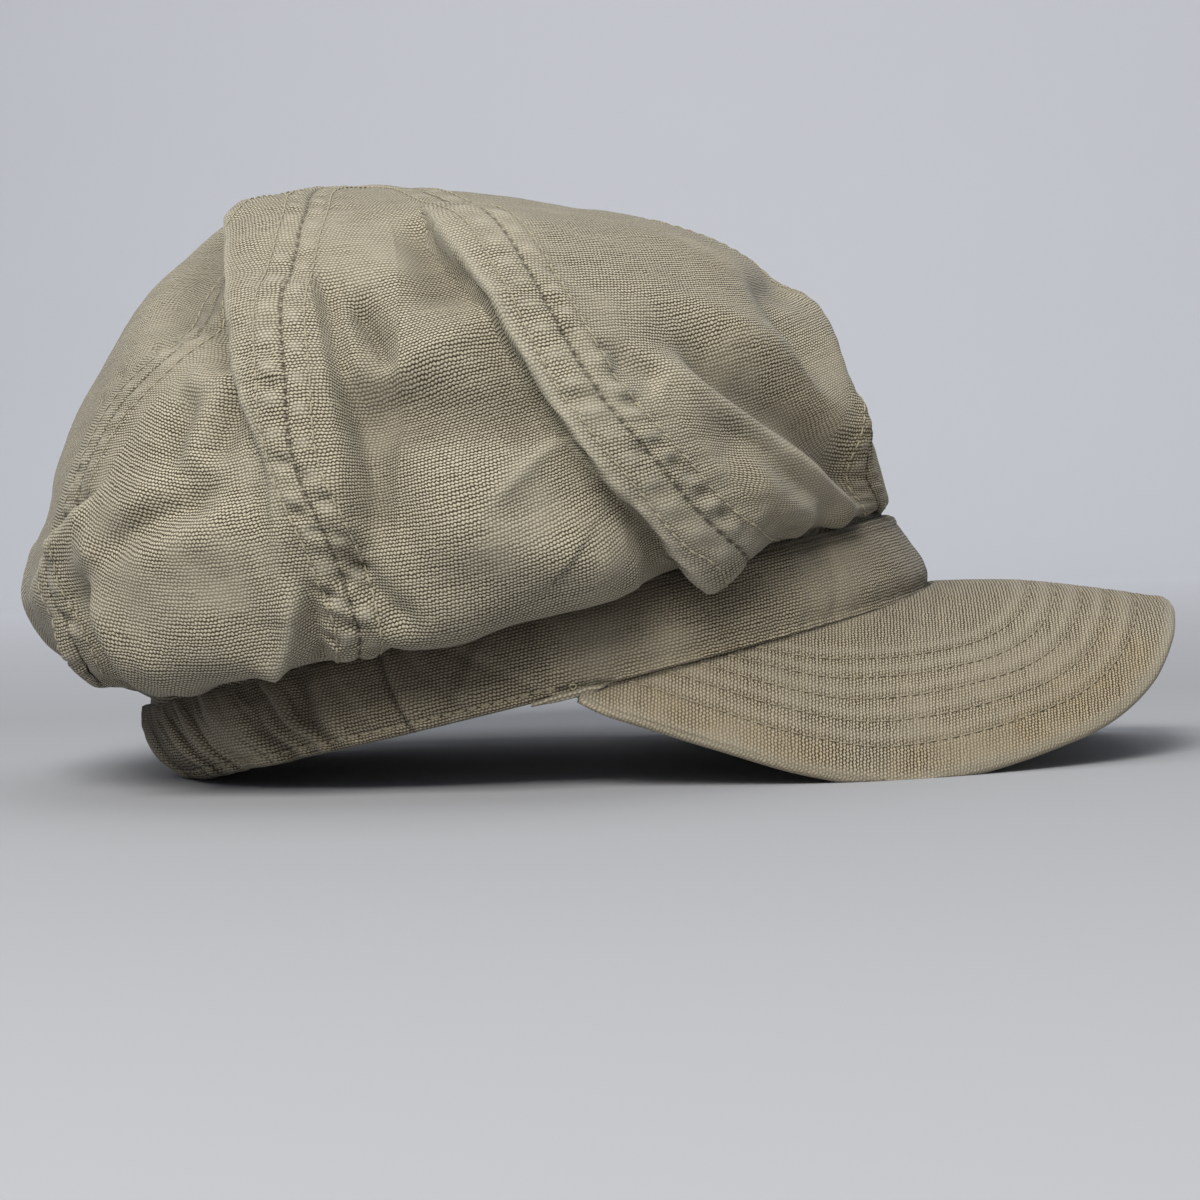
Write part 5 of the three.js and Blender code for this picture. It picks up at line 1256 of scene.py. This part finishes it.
# ---------------------------------------------------------------- camera: the photo's, carried into the resting frame
def build_camera():
    dist, az, el = 700.0, 4.0 * D2R, 1.8 * D2R
    look = np.array([16.0, 0.0, 45.3])
    back = np.array([math.sin(az) * math.cos(el), -math.cos(az) * math.cos(el), math.sin(el)])
    right = np.array([math.cos(az), math.sin(az), 0.0])
    up = np.cross(back, right)
    pos = look + back * dist
    c, s = math.cos(REST_PITCH), math.sin(REST_PITCH)

    def turn(v):
        return np.array([v[0] * c + v[2] * s, v[1], v[2] * c - v[0] * s])

    p = turn(pos - np.array([REST_BACK_X, 0, 0])) + np.array([REST_BACK_X - CENTRE_X, -CENTRE_Y, -REST_DROP])
    r, u, b = turn(right), turn(up), turn(back)
    cam = bpy.data.objects.new("camera", bpy.data.cameras.new("camera"))
    bpy.context.scene.collection.objects.link(cam)
    m = Matrix.Identity(4)
    for i in range(3):
        m[i][0], m[i][1], m[i][2], m[i][3] = r[i], u[i], b[i], p[i] / 1000.0
    cam.matrix_world = m
    cam.data.sensor_fit = "HORIZONTAL"
    cam.data.sensor_width = 36.0
    cam.data.lens = 2751.0 / 1200.0 * 36.0
    cam.data.clip_start = 0.01
    bpy.context.scene.camera = cam


build_camera()


# ---------------------------------------------------------------- floor and light
def build_stage():
    # One sheet: floor that curves up into a wall behind.
    ny, nx = 60, 2
    prof = []
    for f in np.linspace(0, 1, ny):
        d = f * 4.2
        flat, radius = 1.6, 0.9
        if d < flat + 1.4:
            prof.append((d - 1.4, 0.0))
        else:
            g = min((d - flat - 1.4) / radius, math.pi / 2)
            y = flat + radius * math.sin(g)
            z = radius * (1 - math.cos(g)) + max(0.0, d - flat - 1.4 - radius * math.pi / 2)
            prof.append((y, z))
    prof.append((2.5, 3.2))
    pts = np.array([[x, y, z] for y, z in prof for x in (-4.0, 4.0)])
    me = bpy.data.meshes.new("backdrop")
    quads = grid_faces(len(prof), 2, flip=True)
    me.from_pydata([tuple(map(float, p)) for p in pts], [], [tuple(map(int, q)) for q in quads])
    me.shade_smooth()
    ob = bpy.data.objects.new("backdrop", me)
    bpy.context.scene.collection.objects.link(ob)
    mat = bpy.data.materials.new("backdrop")
    mat.use_nodes = True
    nt = mat.node_tree
    bs = nt.nodes["Principled BSDF"]
    pos = node(nt, "ShaderNodeNewGeometry").outputs["Position"]
    soft = noise_tex(nt, pos, 6.0, 3.0, 0.5)
    depth = node(nt, "ShaderNodeSeparateXYZ", Vector=pos).outputs[1]
    # painted light: the backdrop is coloured lighter towards the wall, where the lamps light it less, and darker on the
    # near floor, where they light it more
    far = node(nt, "ShaderNodeMapRange", Value=depth, From__Min=0.22, From__Max=1.5).outputs[0]
    base = mixc(nt, far, (0.375, 0.380, 0.392, 1), (0.80, 0.80, 0.825, 1))
    nt.links.new(mixc(nt, soft, mixc(nt, 1.0, base, (0.98, 0.98, 0.98, 1), "MULTIPLY"), base), bs.inputs["Base Color"])
    bs.inputs["Roughness"].default_value = 0.85
    ob.data.materials.append(mat)

    def area(name, loc, aim, size, power, colour):
        li = bpy.data.lights.new(name, "AREA")
        li.shape = "RECTANGLE"
        li.size, li.size_y = size
        li.energy = power
        li.color = colour
        o = bpy.data.objects.new(name, li)
        bpy.context.scene.collection.objects.link(o)
        d = np.array(aim) - np.array(loc)
        zax = unit(-d)
        xax = unit(np.cross(np.array([0.0, 1.0, 0.001]), zax))
        yax = np.cross(zax, xax)
        mm = Matrix.Identity(4)
        for i in range(3):
            mm[i][0], mm[i][1], mm[i][2], mm[i][3] = xax[i], yax[i], zax[i], loc[i]
        o.matrix_world = mm
        return o

    area("key", (-0.24, -1.10, 1.06), (0.0, 0.0, 0.07), (0.7, 0.7), 24.0, (1.0, 0.985, 0.96))
    area("fill", (0.3, -1.7, 0.40), (0.0, 0.0, 0.07), (1.6, 1.0), 4.0, (0.96, 0.98, 1.0))
    area("top", (0.0, 0.20, 1.6), (0.0, 0.0, 0.1), (1.6, 1.2), 7.5, (0.96, 0.98, 1.0))
    area("wall", (0.0, 1.05, 1.9), (0.0, 2.4, 0.7), (3.0, 0.6), 13.0, (0.97, 0.98, 1.0))
    world = bpy.data.worlds.new("world")
    bpy.context.scene.world = world
    world.use_nodes = True
    bg = world.node_tree.nodes["Background"]
    bg.inputs[0].default_value = (0.80, 0.87, 1.0, 1)
    bg.inputs[1].default_value = 0.22


build_stage()
bpy.context.scene.view_settings.view_transform = "Standard"
bpy.context.scene.view_settings.look = "None"
